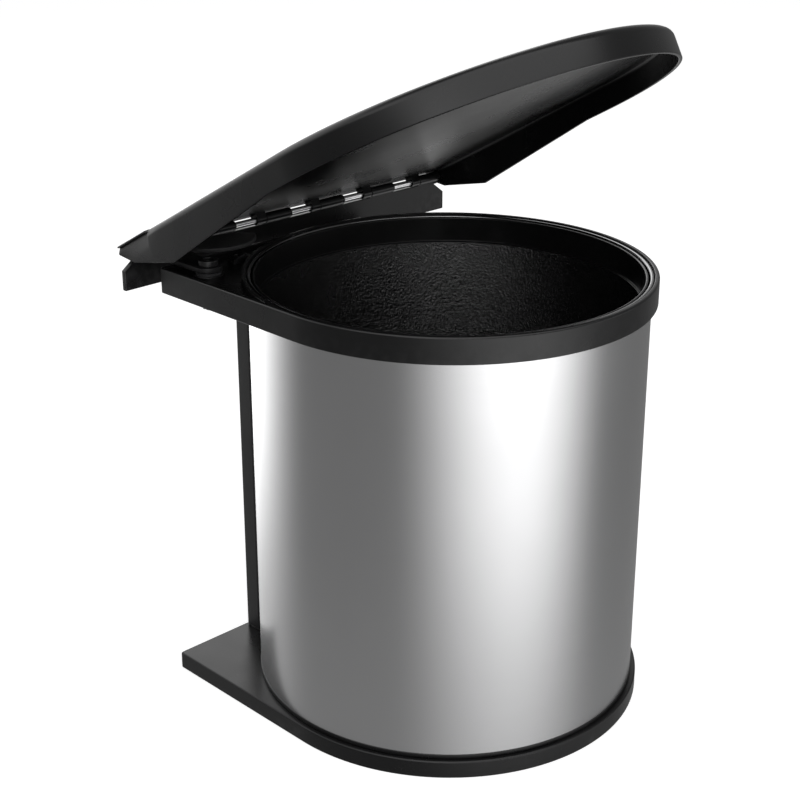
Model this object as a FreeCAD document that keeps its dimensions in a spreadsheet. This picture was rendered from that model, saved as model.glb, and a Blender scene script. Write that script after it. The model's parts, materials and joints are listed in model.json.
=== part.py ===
"""Swing-out cabinet bin: a steel can in a D-shaped frame that turns on a wall bracket, with a hinged lid.

Millimetres. The origin lies on the floor under the can's axis, +Y points at the wall, +Z is up.
"""
import FreeCAD, Part
import os
import re
import Sketcher
from FreeCAD import Placement, Rotation, Vector

# Driving dimensions: alias, value, what it is
SIZES = [
    ("can_radius", 130.0, "outer radius of the steel can"),
    ("can_wall", 0.8, "sheet thickness of the can"),
    ("can_height", 282.0, "from the can's lower edge to the top of its rolled rim"),
    ("rim_bead_radius", 1.4, "half the thickness of the rolled rim"),
    ("rim_bead_proud", 0.8, "how far the rolled rim stands outside the can"),
    ("base_margin", 3.8, "base plate edge outside the can"),
    ("base_rear_margin", 2.1, "base plate rear edge behind the can"),
    ("base_thickness", 12.0, "base plate thickness"),
    ("base_skin", 6.0, "base plate thickness over the hollow underside"),
    ("base_pad_radius", 30.0, "pad under the middle of the base plate"),
    ("base_hollow_gap", 12.0, "from the foot screws' circle in to the hollow"),
    ("base_round", 1.5, "rounding of the base plate's top edge"),
    ("foot_height", 3.2, "foot ring under the can's edge"),
    ("foot_proud", 0.4, "foot ring outside the can"),
    ("foot_lip_height", 6.8, "foot ring lip inside the can"),
    ("foot_lip_width", 9.0, "radial width of the lip"),
    ("foot_lip_gap", 0.2, "lip to the inside of the can"),
    ("foot_screw_count", 4.0, "screws that hold the foot ring"),
    ("bucket_rim_gap", 0.9, "bucket collar to the rolled rim"),
    ("bucket_rim_drop", 2.0, "bucket top under the rolled rim's top"),
    ("bucket_wall", 1.8, "bucket wall"),
    ("bucket_collar_height", 16.4, "smooth collar at the bucket's mouth"),
    ("bucket_step", 2.0, "ledge under the collar"),
    ("bucket_foot_gap", 17.2, "bucket's floor to the inside of the can"),
    ("ring_gap", 0.4, "top ring bore to the rolled rim"),
    ("ring_wall", 3.0, "top ring band and deck walls"),
    ("ring_height", 17.1, "top ring height"),
    ("ring_rise", 0.8, "top ring over the rolled rim's top"),
    ("ring_rear_margin", 0.5, "top ring rear edge behind the can"),
    ("ring_round", 1.5, "rounding of the top ring's upper edge"),
    ("deck_recess", 4.0, "deck floor under the top ring's upper edge"),
    ("lug_height", 7.0, "low lug of the top ring over the right upright"),
    ("lug_margin", 2.0, "that lug round the upright"),
    ("upright_side", 14.0, "square upright tube"),
    ("upright_wall", 1.5, "upright tube wall"),
    ("upright_setback", 0.2, "upright in front of the top ring's rear edge"),
    ("upright_gap", 0.9, "upright to the can"),
    ("plug_gap", 0.1, "plug to the inside of the tube, each side"),
    ("plug_length", 20.0, "tube plug length"),
    ("screw_radius", 1.9, "shank of the frame screws"),
    ("screw_head_radius", 3.8, "head of the frame screws"),
    ("screw_head_height", 2.4, "head height of the frame screws"),
    ("screw_sink", 0.6, "screw heads below the face they are sunk in"),
    ("screw_length", 24.0, "shank length of the upright screws"),
    ("foot_screw_length", 14.0, "shank length of the foot ring screws"),
    ("cam_screw_length", 8.5, "shank length of the cam screw"),
    ("cam_seat", 5.5, "deck thickness left over the cam screw's head"),
    ("screw_gap", 0.05, "hole wider than the shank, all round"),
    ("head_gap", 0.4, "sunk hole wider than the head, all round"),
    ("pivot_side_inset", 17.2, "pivot axis from the top ring's left side"),
    ("pivot_rear_inset", 29.5, "pivot axis from the top ring's rear edge"),
    ("pivot_boss_radius", 10.0, "boss round the pivot"),
    ("pivot_boss_drop", 1.0, "boss top under the top ring's upper edge"),
    ("bush_radius", 5.6, "pivot bush outside"),
    ("bush_flange_radius", 8.5, "pivot bush flange"),
    ("bush_flange_height", 1.7, "pivot bush flange thickness"),
    ("bolt_radius", 4.0, "pivot bolt shoulder"),
    ("bolt_head_radius", 6.5, "pivot bolt head"),
    ("bolt_head_height", 4.0, "pivot bolt head height"),
    ("bolt_socket_radius", 3.6, "round hollow in the bolt head"),
    ("bolt_socket_depth", 2.6, "depth of that hollow"),
    ("thread_radius", 3.0, "threaded end of the pivot bolt"),
    ("thread_length", 8.0, "length of the threaded end"),
    ("washer_radius", 8.0, "pivot washer"),
    ("washer_thickness", 1.6, "pivot washer thickness"),
    ("nut_flats", 10.0, "pivot nut across the flats"),
    ("nut_height", 5.0, "pivot nut height"),
    ("running_gap", 0.05, "pins and bolts in the holes that they turn in"),
    ("face_gap", 0.3, "between faces that pass each other"),
    ("cam_length", 10.0, "lift cam along X"),
    ("cam_width", 7.0, "lift cam along Y"),
    ("cam_height", 6.5, "lift cam at its high end"),
    ("cam_low_height", 3.5, "lift cam at its low end"),
    ("cam_gap", 1.23, "lift cam to the round wall of the deck"),
    ("cam_rear_offset", 12.5, "lift cam from the pivot, along Y"),
    ("arm_width", 18.0, "pivot arm"),
    ("arm_thickness", 3.4, "pivot arm plate"),
    ("arm_rise", 1.0, "pivot arm over the top ring"),
    ("arm_seat", 12.0, "pivot arm on the wall strip"),
    ("arm_seat_gap", 0.2, "pivot arm in its rebate"),
    ("arm_screw_spacing", 9.0, "between the two arm screws"),
    ("arm_screw_radius", 1.7, "arm screw shank"),
    ("arm_screw_head_radius", 3.3, "arm screw countersunk head"),
    ("arm_screw_head_height", 1.7, "arm screw head height"),
    ("arm_screw_length", 13.0, "arm screw shank length"),
    ("strip_gap", 19.5, "wall strip behind the top ring's rear edge"),
    ("strip_depth", 14.0, "wall strip front to back"),
    ("strip_height", 22.4, "wall strip height"),
    ("strip_overhang", 3.6, "wall strip end outside the lid"),
    ("strip_end_depth", 3.6, "wall strip front to back at its ends"),
    ("strip_end_length", 15.0, "thin end of the wall strip, along X"),
    ("strip_end_slope_length", 12.0, "sloped end of the strip, along X"),
    ("strip_end_slope_height", 9.0, "sloped end of the strip, along Z"),
    ("wall_hole_spacing", 120.0, "between the two screw holes to the wall"),
    ("wall_hole_rise", 5.6, "those holes over the strip's lower edge"),
    ("wall_hole_radius", 2.2, "screw hole to the wall"),
    ("wall_sink_radius", 4.2, "countersink of that hole"),
    ("wall_sink_depth", 2.0, "depth of the countersink"),
    ("hinge_rise", 4.0, "hinge axis over the wall strip"),
    ("pin_radius", 2.0, "hinge pin"),
    ("knuckle_radius", 3.5, "hinge eyes and sleeves"),
    ("pin_end_gap", 0.6, "hinge pin end to the lid's cheek"),
    ("eye_width", 8.0, "hinge eye of the lid"),
    ("eye_gap", 0.4, "eye to the sleeve beside it"),
    ("eye_count", 5.0, "hinge eyes of the lid, evenly spaced"),
    ("eye_flap_gap", 5.0, "lift flap's eye to the lid's first eye"),
    ("eye_end_inset", 25.0, "lid's last eye from the right end of the pin"),
    ("end_sleeve_width", 11.0, "left end sleeve of the wall strip"),
    ("flap_eye_width", 13.0, "hinge eye of the lift flap"),
    ("flap_thickness", 3.0, "lift flap plate"),
    ("flap_drop", 1.4, "lift flap top under the hinge axis"),
    ("flap_length", 52.0, "lift flap tip to tip, along X"),
    ("flap_width", 31.0, "lift flap, along Y"),
    ("flap_hinge_gap", 4.2, "lift flap rear edge to the hinge axis"),
    ("flap_arm_gap", 2.0, "lift flap to the pivot arm"),
    ("lid_side_margin", 9.8, "lid outside the top ring, each side"),
    ("lid_front_overhang", 34.0, "lid in front of the top ring"),
    ("lid_wall", 2.5, "lid plate and skirt"),
    ("lid_top_rise", 6.5, "lid top over the hinge axis"),
    ("lid_skirt", 18.8, "lid top to the skirt's lower edge"),
    ("lid_round", 1.2, "rounding of the lid's top edge"),
    ("cheek_drop", 8.4, "lid cheek under the skirt's lower edge"),
    ("cheek_start", 155.0, "where the cheek starts to drop, in front of the hinge"),
    ("cheek_corner", 44.0, "lowest corner of the cheek, in front of the hinge"),
    ("cheek_end", 3.0, "rear end of the cheek, in front of the hinge"),
    ("cheek_end_drop", 9.0, "rear end of the cheek under the hinge axis"),
    ("cheek_tail", 0.5, "lower rear corner of the cheek over the hinge axis"),
    ("lid_lip", 11.0, "cheek's upper rear corner behind the hinge"),
    ("lid_plate_lip", 7.5, "lid plate behind the hinge between the cheeks"),
    ("lid_open_angle", 28.87, "lid opening, degrees"),
    ("overrun", 5.0, "how far cuts run past the material"),
]

# Length of the sleeves of the wall strip, as a share of the distance between eyes
SLEEVE_SHARE = 0.46

# Derived sizes, written in the driving dimensions
DERIVED = {
    "can_inner": "can_radius - can_wall",
    "can_bottom": "base_thickness + foot_height",
    "rim_top": "can_bottom + can_height",
    "rim_centre": "can_radius + rim_bead_proud - rim_bead_radius",
    "rim_centre_height": "rim_top - rim_bead_radius",
    "base_radius": "can_radius + base_margin",
    "base_rear": "can_radius + base_rear_margin",
    "foot_radius": "can_radius + foot_proud",
    "lip_radius": "can_inner - foot_lip_gap",
    "lip_inner": "lip_radius - foot_lip_width",
    "foot_screw_circle": "lip_radius - foot_lip_width / 2",
    "base_hollow_radius": "foot_screw_circle - base_hollow_gap",
    "collar_radius": "rim_centre - rim_bead_radius - bucket_rim_gap",
    "collar_bottom": "rim_top - bucket_rim_drop - bucket_collar_height",
    "bucket_foot_radius": "can_inner - bucket_foot_gap",
    "ring_bore": "can_radius + rim_bead_proud + ring_gap",
    "ring_outer": "ring_bore + ring_wall",
    "ring_top": "rim_top + ring_rise",
    "ring_bottom": "ring_top - ring_height",
    "ring_rear": "can_radius + ring_rear_margin",
    "deck_floor": "ring_top - deck_recess",
    "lug_top": "ring_bottom + lug_height",
    "upright_rear": "ring_rear - upright_setback",
    "upright_front": "upright_rear - upright_side",
    "upright_inner": "sqrt((can_radius + upright_gap)^2 - upright_front^2)",
    "upright_x": "upright_inner + upright_side / 2",
    "upright_y": "upright_rear - upright_side / 2",
    "upright_length": "ring_bottom - base_thickness",
    "plug_side": "upright_side - 2 * upright_wall - 2 * plug_gap",
    "screw_sink_depth": "screw_head_height + screw_sink",
    "pivot_x": "pivot_side_inset - ring_outer",
    "pivot_y": "ring_rear - pivot_rear_inset",
    "boss_top": "ring_top - pivot_boss_drop",
    "arm_bottom": "ring_top + arm_rise",
    "arm_top": "arm_bottom + arm_thickness",
    "arm_screw_tip": "arm_top - arm_screw_head_height - arm_screw_length",
    "cam_y": "pivot_y + cam_rear_offset",
    "cam_inner": "sqrt((ring_outer + cam_gap)^2 - (cam_y - cam_width / 2)^2)",
    "cam_x": "-(cam_inner + cam_length / 2)",
    "cam_sink_top": "deck_floor - cam_seat",
    "bolt_shoulder_end": "ring_bottom - face_gap",
    "nut_top": "bolt_shoulder_end - washer_thickness",
    "strip_front": "ring_rear + strip_gap",
    "strip_rear": "strip_front + strip_depth",
    "strip_top": "arm_top",
    "strip_bottom": "strip_top - strip_height",
    "lid_half": "ring_outer + lid_side_margin",
    "lid_inner_half": "lid_half - lid_wall",
    "strip_half": "lid_half + strip_overhang",
    "hinge_y": "strip_front",
    "hinge_z": "strip_top + hinge_rise",
    "pin_half": "lid_inner_half - pin_end_gap",
    "wall_hole_z": "strip_bottom + wall_hole_rise",
    "lid_arc_y": "lid_half - ring_outer - lid_front_overhang - hinge_y",
    "lid_front": "lid_arc_y - lid_half",
    "skirt_edge": "lid_top_rise - lid_skirt",
    "cheek_bottom": "skirt_edge - cheek_drop",
    "plate_under": "lid_top_rise - lid_wall",
    "flap_right": "flap_left + flap_length",
    "flap_left": "pivot_x + arm_width / 2 + flap_arm_gap",
    "first_eye": "flap_left + flap_eye_width + eye_flap_gap + eye_width / 2",
    "eye_pitch": "(pin_half - eye_end_inset - first_eye) / (eye_count - 1)",
    "flap_top": "hinge_z - flap_drop",
    "flap_bottom": "flap_top - flap_thickness",
    "flap_mid_y": "hinge_y - flap_hinge_gap - flap_width / 2",
    "flap_bend": "((flap_length / 2)^2 - (flap_width / 2)^2) / flap_width",
}

doc = FreeCAD.newDocument("cabinet_bin")
sizes = doc.addObject("Spreadsheet::Sheet", "sizes")


def fill_sheet():
    """Write each driving dimension as a plain number in an aliased cell, beside its description."""
    for row, (alias, value, note) in enumerate(SIZES, start=1):
        sizes.set(f"A{row}", note)
        sizes.set(f"B{row}", str(value))
        sizes.setAlias(f"B{row}", alias)
    doc.recompute()


ALIASES = {alias for alias, value, note in SIZES}


def expression(formula):
    """Turn a formula of size names into an expression on the sheet's cells."""
    def expand(match):
        word = match.group(0)
        if word in ALIASES:
            return f"sizes.{word}"
        if word in DERIVED:
            return f"({expression(DERIVED[word])})"
        return word
    return re.sub(r"[A-Za-z_]\w*", expand, formula)


def number(formula):
    """The present value of a formula, for the first shape of a sketch."""
    return float(sizes.evalExpression(expression(formula)))


def bind(item, **formulas):
    """Bind properties of an object to formulas of size names."""
    for prop, formula in formulas.items():
        item.setExpression(prop, expression(formula))


def place(item, x="0", y="0", z="0"):
    """Bind an object's position to formulas, leaving its turn as it is."""
    for axis, formula in (("x", x), ("y", y), ("z", z)):
        if formula != "0":
            item.setExpression(f"Placement.Base.{axis}", expression(formula))


def add(kind, label, **formulas):
    """Add a labelled document object with its sizes bound."""
    item = doc.addObject(kind, label)
    item.Label = label
    bind(item, **formulas)
    return item


# Turns of a cylinder's own axis from Z to another axis
ALONG = {
    "x": Rotation(Vector(0, 1, 0), 90),
    "y": Rotation(Vector(1, 0, 0), -90),
    "z": Rotation(),
    "down": Rotation(Vector(1, 0, 0), 180),
}


def cylinder(label, radius, height, x="0", y="0", z="0", along="z"):
    """A round bar that starts at a point and runs along an axis."""
    item = add("Part::Cylinder", label, Radius=radius, Height=height)
    item.Placement = Placement(Vector(), ALONG[along])
    place(item, x, y, z)
    return item


def cone(label, first, second, height, x="0", y="0", z="0", along="z"):
    """A cone that starts at a point with its first radius."""
    item = add("Part::Cone", label, Radius1=first, Radius2=second, Height=height)
    item.Placement = Placement(Vector(), ALONG[along])
    place(item, x, y, z)
    return item


def box(label, length, width, height, x="0", y="0", z="0"):
    """A box from its lowest corner."""
    item = add("Part::Box", label, Length=length, Width=width, Height=height)
    place(item, x, y, z)
    return item


def fuse(label, shapes):
    """One solid from several."""
    item = add("Part::MultiFuse", label)
    item.Shapes = shapes
    item.Refine = True
    return item


def cut(label, base, tools):
    """A solid with one or more tools taken away."""
    item = add("Part::Cut", label)
    item.Base = base
    item.Tool = tools[0] if len(tools) == 1 else fuse(f"{label}_tools", tools)
    return item


def group(label, shapes):
    """Separate solids that share one node."""
    item = add("Part::Compound", label)
    item.Links = shapes
    return item


def new_body(label):
    """An empty body with its label."""
    return add("PartDesign::Body", label)


def new_sketch(body, name, role, offset="0"):
    """A sketch on one of the body's own planes, moved along the plane's normal."""
    sketch = body.newObject("Sketcher::SketchObject", name)
    support = [plane for plane in body.Origin.OriginFeatures if plane.Role == role]
    sketch.AttachmentSupport = [(support[0], "")]
    sketch.MapMode = "FlatFace"
    if offset != "0":
        sketch.setExpression("AttachmentOffset.Base.z", expression(offset))
    return sketch


def pin_point(sketch, element, point, x, y):
    """Hold a point of a sketch element at formulas for x and y; either may be left free with None."""
    for kind, axis, formula in (("DistanceX", -2, x), ("DistanceY", -1, y)):
        if formula is None:
            continue
        if formula == "0":
            sketch.addConstraint(Sketcher.Constraint("PointOnObject", element, point, axis))
            continue
        held = sketch.addConstraint(
            Sketcher.Constraint(kind, -1, 1, element, point, number(formula)))
        sketch.setExpression(f"Constraints[{held}]", expression(formula))


def draw_outline(sketch, corners):
    """Draw a closed outline.

    Each corner is (x, y) for a straight run to the next corner, or (x, y, centre_x, centre_y, turn) for an
    arc that turns "left" or "right" about a centre.
    """
    spots = [Vector(number(corner[0]), number(corner[1]), 0) for corner in corners]
    first = sketch.GeometryCount
    ends = []
    for index, corner in enumerate(corners):
        start = spots[index]
        stop = spots[(index + 1) % len(corners)]
        if len(corner) == 2:
            sketch.addGeometry(Part.LineSegment(start, stop))
            ends.append((1, 2))
            continue
        centre = Vector(number(corner[2]), number(corner[3]), 0)
        left = corner[4] == "left"
        begin, finish = (start, stop) if left else (stop, start)
        circle = Part.Circle(centre, Vector(0, 0, 1), begin.distanceToPoint(centre))
        sketch.addGeometry(Part.ArcOfCircle(circle, circle.parameter(begin), turn_end(circle, begin, finish)))
        ends.append((1, 2) if left else (2, 1))
    for index in range(len(corners)):
        following = (index + 1) % len(corners)
        sketch.addConstraint(Sketcher.Constraint(
            "Coincident", first + index, ends[index][1], first + following, ends[following][0]))
    for index, corner in enumerate(corners):
        pin_point(sketch, first + index, ends[index][0], corner[0], corner[1])
    for index, corner in enumerate(corners):
        if len(corner) > 2:
            following = corners[(index + 1) % len(corners)]
            level = following[1] == corner[1]
            pin_point(sketch, first + index, 3, None if level else corner[2], corner[3] if level else None)


def turn_end(circle, begin, finish):
    """The parameter of an arc's end, past its beginning."""
    start = circle.parameter(begin)
    stop = circle.parameter(finish)
    full_turn = circle.LastParameter - circle.FirstParameter
    return stop if stop > start else stop + full_turn


def draw_circle(sketch, radius, x="0", y="0"):
    """Draw a circle with its radius and centre held."""
    centre = Vector(number(x), number(y), 0)
    element = sketch.addGeometry(Part.Circle(centre, Vector(0, 0, 1), number(radius)))
    held = sketch.addConstraint(Sketcher.Constraint("Radius", element, number(radius)))
    sketch.setExpression(f"Constraints[{held}]", expression(radius))
    pin_point(sketch, element, 3, x, y)


def pad(body, sketch, length, reverse=False):
    """Add material along the sketch's normal."""
    feature = body.newObject("PartDesign::Pad", f"{sketch.Name}_pad")
    feature.Profile = sketch
    feature.setExpression("Length", expression(length))
    feature.Reversed = reverse
    doc.recompute()
    return feature


def pocket(body, sketch, depth, reverse=False):
    """Take material away against the sketch's normal, or along it when reversed."""
    before = body.Shape.Volume
    feature = body.newObject("PartDesign::Pocket", f"{sketch.Name}_pocket")
    feature.Profile = sketch
    feature.setExpression("Length", expression(depth))
    feature.Reversed = reverse
    doc.recompute()
    if body.Shape.Volume >= before:
        raise RuntimeError(f"{sketch.Name} cuts nothing")
    return feature


def round_top(body, feature, radius):
    """Round the outline of a feature's highest face."""
    top = feature.Shape.BoundBox.ZMax
    names = []
    for index, edge in enumerate(feature.Shape.Edges, start=1):
        if all(abs(vertex.Z - top) < number("face_gap") / 100 for vertex in edge.Vertexes):
            names.append(f"Edge{index}")
    rounded = body.newObject("PartDesign::Fillet", f"{body.Name}_round")
    rounded.Base = (feature, names)
    rounded.setExpression("Radius", expression(radius))
    doc.recompute()
    return rounded


def turned(label, corners):
    """A body turned about the Z axis from an outline of radius and height."""
    body = new_body(label)
    sketch = new_sketch(body, f"{label}_section", "XZ_Plane")
    draw_outline(sketch, corners)
    feature = body.newObject("PartDesign::Revolution", f"{label}_turn")
    feature.Profile = sketch
    feature.ReferenceAxis = (sketch, ["V_Axis"])
    feature.Angle = 360
    doc.recompute()
    return body


def d_outline(half, arc_y, rear):
    """A D: a half circle in front of straight sides and a straight rear edge."""
    return [
        (f"-({half})", arc_y, "0", arc_y, "left"),
        (half, arc_y),
        (half, rear),
        (f"-({half})", rear),
    ]


def screw(label, x, y, z, length, along):
    """A frame screw: a flat round head with its shank running on along an axis from the head's seat."""
    shank = cylinder(f"{label}_shank", "screw_radius", length, x, y, z, along)
    back = {"z": "down", "down": "z"}[along]
    head = cylinder(f"{label}_head", "screw_head_radius", "screw_head_height", x, y, z, back)
    return fuse(label, [shank, head])


def foot_screw_places():
    """Formulas for the foot ring screws' places, evenly round the ring."""
    count = int(number("foot_screw_count"))
    places = []
    for index in range(count):
        angle = f"(360 * ({index} + 0.5) / {count})"
        places.append((f"foot_screw_circle * cos({angle})", f"foot_screw_circle * sin({angle})"))
    return places


UPRIGHT_SIDES = {"left": "-(upright_x)", "right": "upright_x"}

# Face of the top ring that each upright's upper screw is sunk in
UPRIGHT_SEATS = {"left": "deck_floor", "right": "lug_top"}


def make_base_plate():
    """D-shaped plate with a rounded top edge, hollow underneath, holed for its screws."""
    body = new_body("base_plate")
    outline = new_sketch(body, "base_outline", "XY_Plane")
    draw_outline(outline, d_outline("base_radius", "0", "base_rear"))
    plate = pad(body, outline, "base_thickness")
    round_top(body, plate, "base_round")
    hollow = new_sketch(body, "base_hollow", "XY_Plane")
    draw_circle(hollow, "base_hollow_radius")
    draw_circle(hollow, "base_pad_radius")
    pocket(body, hollow, "base_thickness - base_skin", reverse=True)
    places = [(x, "upright_y") for x in UPRIGHT_SIDES.values()] + foot_screw_places()
    holes = new_sketch(body, "base_holes", "XY_Plane")
    sinks = new_sketch(body, "base_sinks", "XY_Plane")
    for x, y in places:
        draw_circle(holes, "screw_radius + screw_gap", x, y)
        draw_circle(sinks, "screw_head_radius + head_gap", x, y)
    pocket(body, holes, "base_thickness + overrun", reverse=True)
    pocket(body, sinks, "screw_sink_depth", reverse=True)
    return body


def make_foot_ring():
    """Ring that the can's lower edge stands on, with a lip inside the can."""
    ring = turned("foot_ring_blank", [
        ("lip_inner", "base_thickness"),
        ("foot_radius", "base_thickness"),
        ("foot_radius", "can_bottom"),
        ("lip_radius", "can_bottom"),
        ("lip_radius", "can_bottom + foot_lip_height"),
        ("lip_inner", "can_bottom + foot_lip_height"),
    ])
    pilots = []
    for index, (x, y) in enumerate(foot_screw_places()):
        pilots.append(cylinder(f"foot_pilot_{index}", "screw_radius + screw_gap",
                               "foot_height + foot_lip_height + 2 * overrun",
                               x, y, "base_thickness - overrun"))
    return cut("foot_ring", ring, pilots)


def make_steel_can():
    """Sheet sleeve with a rolled rim."""
    height = "rim_centre_height - can_bottom"
    outside = cylinder("can_outside", "can_radius", height, z="can_bottom")
    inside = cylinder("can_inside", "can_inner", f"{height} + 2 * overrun", z="can_bottom - overrun")
    sleeve = cut("can_sleeve", outside, [inside])
    bead = add("Part::Torus", "can_bead", Radius1="rim_centre", Radius2="rim_bead_radius")
    place(bead, z="rim_centre_height")
    return fuse("steel_can", [sleeve, bead])


def make_bucket():
    """Tapered bucket with a smooth upright collar above a small ledge."""
    shoulder = "collar_radius - bucket_step"
    top = "rim_top - bucket_rim_drop"
    return turned("inner_bucket", [
        ("0", "base_thickness"),
        ("bucket_foot_radius", "base_thickness"),
        (shoulder, "collar_bottom - bucket_wall"),
        ("collar_radius", "collar_bottom - bucket_wall"),
        ("collar_radius", top),
        ("collar_radius - bucket_wall", top),
        ("collar_radius - bucket_wall", "collar_bottom"),
        (f"{shoulder} - bucket_wall", "collar_bottom"),
        ("bucket_foot_radius - bucket_wall", "base_thickness + bucket_wall"),
        ("0", "base_thickness + bucket_wall"),
    ])


def deck_corner():
    """Outline of the sunk deck in the top ring's rear left corner."""
    side_x = "(ring_outer - ring_wall)"
    rear_y = "(ring_rear - ring_wall)"
    return [
        (f"-sqrt(ring_outer^2 - {rear_y}^2)", rear_y, "0", "0", "left"),
        (f"-{side_x}", f"sqrt(ring_outer^2 - {side_x}^2)"),
        (f"-{side_x}", rear_y),
    ]


def rectangle(left, right, front, rear):
    """Outline of a rectangle."""
    return [(left, front), (right, front), (right, rear), (left, rear)]


def make_top_ring():
    """Round collar with a sunk deck and pivot boss at its rear left, and a low lug at its rear right."""
    body = new_body("top_ring")
    corner = new_sketch(body, "ring_corner", "XY_Plane", "ring_bottom")
    draw_outline(corner, rectangle("-(ring_outer)", "0", "0", "ring_rear"))
    pad(body, corner, "ring_height")
    collar = new_sketch(body, "ring_collar", "XY_Plane", "ring_bottom")
    draw_circle(collar, "ring_outer")
    band = pad(body, collar, "ring_height")
    round_top(body, band, "ring_round")
    lug = new_sketch(body, "ring_lug", "XY_Plane", "ring_bottom")
    draw_outline(lug, rectangle("upright_inner - lug_margin", "upright_inner + upright_side + lug_margin",
                                "upright_front - upright_side / 2", "ring_rear"))
    pad(body, lug, "lug_height")
    bore = new_sketch(body, "ring_bore_circle", "XY_Plane", "ring_bottom")
    draw_circle(bore, "ring_bore")
    pocket(body, bore, "ring_height + overrun", reverse=True)
    deck = new_sketch(body, "ring_deck", "XY_Plane", "ring_top")
    draw_outline(deck, deck_corner())
    pocket(body, deck, "deck_recess")
    boss = new_sketch(body, "ring_boss", "XY_Plane", "deck_floor")
    draw_circle(boss, "pivot_boss_radius", "pivot_x", "pivot_y")
    pad(body, boss, "boss_top - deck_floor")
    holes = new_sketch(body, "ring_holes", "XY_Plane", "ring_bottom")
    draw_circle(holes, "bush_radius + screw_gap", "pivot_x", "pivot_y")
    draw_circle(holes, "screw_radius + screw_gap", "cam_x", "cam_y")
    for x in UPRIGHT_SIDES.values():
        draw_circle(holes, "screw_radius + screw_gap", x, "upright_y")
    pocket(body, holes, "ring_height + overrun", reverse=True)
    for side, x in UPRIGHT_SIDES.items():
        sink = new_sketch(body, f"ring_sink_{side}", "XY_Plane", UPRIGHT_SEATS[side])
        draw_circle(sink, "screw_head_radius + head_gap", x, "upright_y")
        pocket(body, sink, "screw_sink_depth")
    cam_sink = new_sketch(body, "ring_cam_sink", "XY_Plane", "ring_bottom")
    draw_circle(cam_sink, "screw_head_radius + head_gap", "cam_x", "cam_y")
    pocket(body, cam_sink, "cam_sink_top - ring_bottom", reverse=True)
    return body


def square(half):
    """Outline of a square about the origin."""
    return [(f"-({half})", f"-({half})"), (half, f"-({half})"), (half, half), (f"-({half})", half)]


def make_upright(side, x):
    """Square tube from the base plate to the top ring."""
    body = new_body(f"upright_{side}")
    section = new_sketch(body, f"upright_{side}_section", "XY_Plane")
    draw_outline(section, square("upright_side / 2"))
    draw_outline(section, square("upright_side / 2 - upright_wall"))
    pad(body, section, "upright_length")
    place(body, x, "upright_y", "base_thickness")
    return body


def make_tube_plugs():
    """Plugs in both ends of both uprights, which the upright screws bite into."""
    plugs = []
    for side, x in UPRIGHT_SIDES.items():
        for end, z in (("lower", "base_thickness"), ("upper", "ring_bottom - plug_length")):
            name = f"plug_{side}_{end}"
            block = box(f"{name}_block", "plug_side", "plug_side", "plug_length",
                        f"{x} - plug_side / 2", "upright_y - plug_side / 2", z)
            pilot = cylinder(f"{name}_pilot", "screw_radius + screw_gap", "plug_length + 2 * overrun",
                             x, "upright_y", f"{z} - overrun")
            plugs.append(cut(name, block, [pilot]))
    return group("tube_plugs", plugs)


def make_upright_screws():
    """Screws up through the base plate and down through the top ring into the uprights' plugs."""
    screws = []
    for side, x in UPRIGHT_SIDES.items():
        screws.append(screw(f"screw_{side}_lower", x, "upright_y", "screw_sink_depth", "screw_length", "z"))
        screws.append(screw(f"screw_{side}_upper", x, "upright_y",
                            f"{UPRIGHT_SEATS[side]} - screw_sink_depth", "screw_length", "down"))
    return group("upright_screws", screws)


def make_foot_ring_screws():
    """Screws up through the base plate into the foot ring."""
    screws = []
    for index, (x, y) in enumerate(foot_screw_places()):
        screws.append(screw(f"foot_screw_{index}", x, y, "screw_sink_depth", "foot_screw_length", "z"))
    return group("foot_ring_screws", screws)


def make_pivot_bush():
    """Flanged bush in the top ring's boss."""
    body = turned("pivot_bush", [
        ("bolt_radius + running_gap", "ring_bottom"),
        ("bush_radius", "ring_bottom"),
        ("bush_radius", "boss_top"),
        ("bush_flange_radius", "boss_top"),
        ("bush_flange_radius", "boss_top + bush_flange_height"),
        ("bolt_radius + running_gap", "boss_top + bush_flange_height"),
    ])
    place(body, "pivot_x", "pivot_y")
    return body


def make_lift_cam():
    """Wedge on the deck under the lift flap."""
    body = new_body("lift_cam")
    side = new_sketch(body, "cam_side", "XZ_Plane", "-cam_width / 2")
    draw_outline(side, [
        ("-cam_length / 2", "0"),
        ("cam_length / 2", "0"),
        ("cam_length / 2", "cam_height"),
        ("-cam_length / 2", "cam_low_height"),
    ])
    pad(body, side, "cam_width")
    pilot = new_sketch(body, "cam_pilot", "XY_Plane")
    draw_circle(pilot, "screw_radius + screw_gap")
    pocket(body, pilot, "cam_height + overrun", reverse=True)
    place(body, "cam_x", "cam_y", "deck_floor")
    return body


def make_cam_screw():
    """Screw up through the deck into the lift cam."""
    return screw("cam_screw", "cam_x", "cam_y", "cam_sink_top", "cam_screw_length", "z")


def eye_places():
    """X formulas of the middles of the lid's hinge eyes, evenly along the pin."""
    return [f"first_eye + {index} * eye_pitch" for index in range(int(number("eye_count")))]


def knuckle_row():
    """Start and length formulas of the strip's hinge sleeves: one at the left end, one beside each eye."""
    starts = [f"{eye} + eye_width / 2 + eye_gap" for eye in eye_places()]
    sleeves = [("-(pin_half)", "end_sleeve_width")]
    for start in starts[:-1]:
        sleeves.append((start, f"{SLEEVE_SHARE} * eye_pitch"))
    sleeves.append((starts[-1], f"pin_half - ({starts[-1]})"))
    return sleeves


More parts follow.
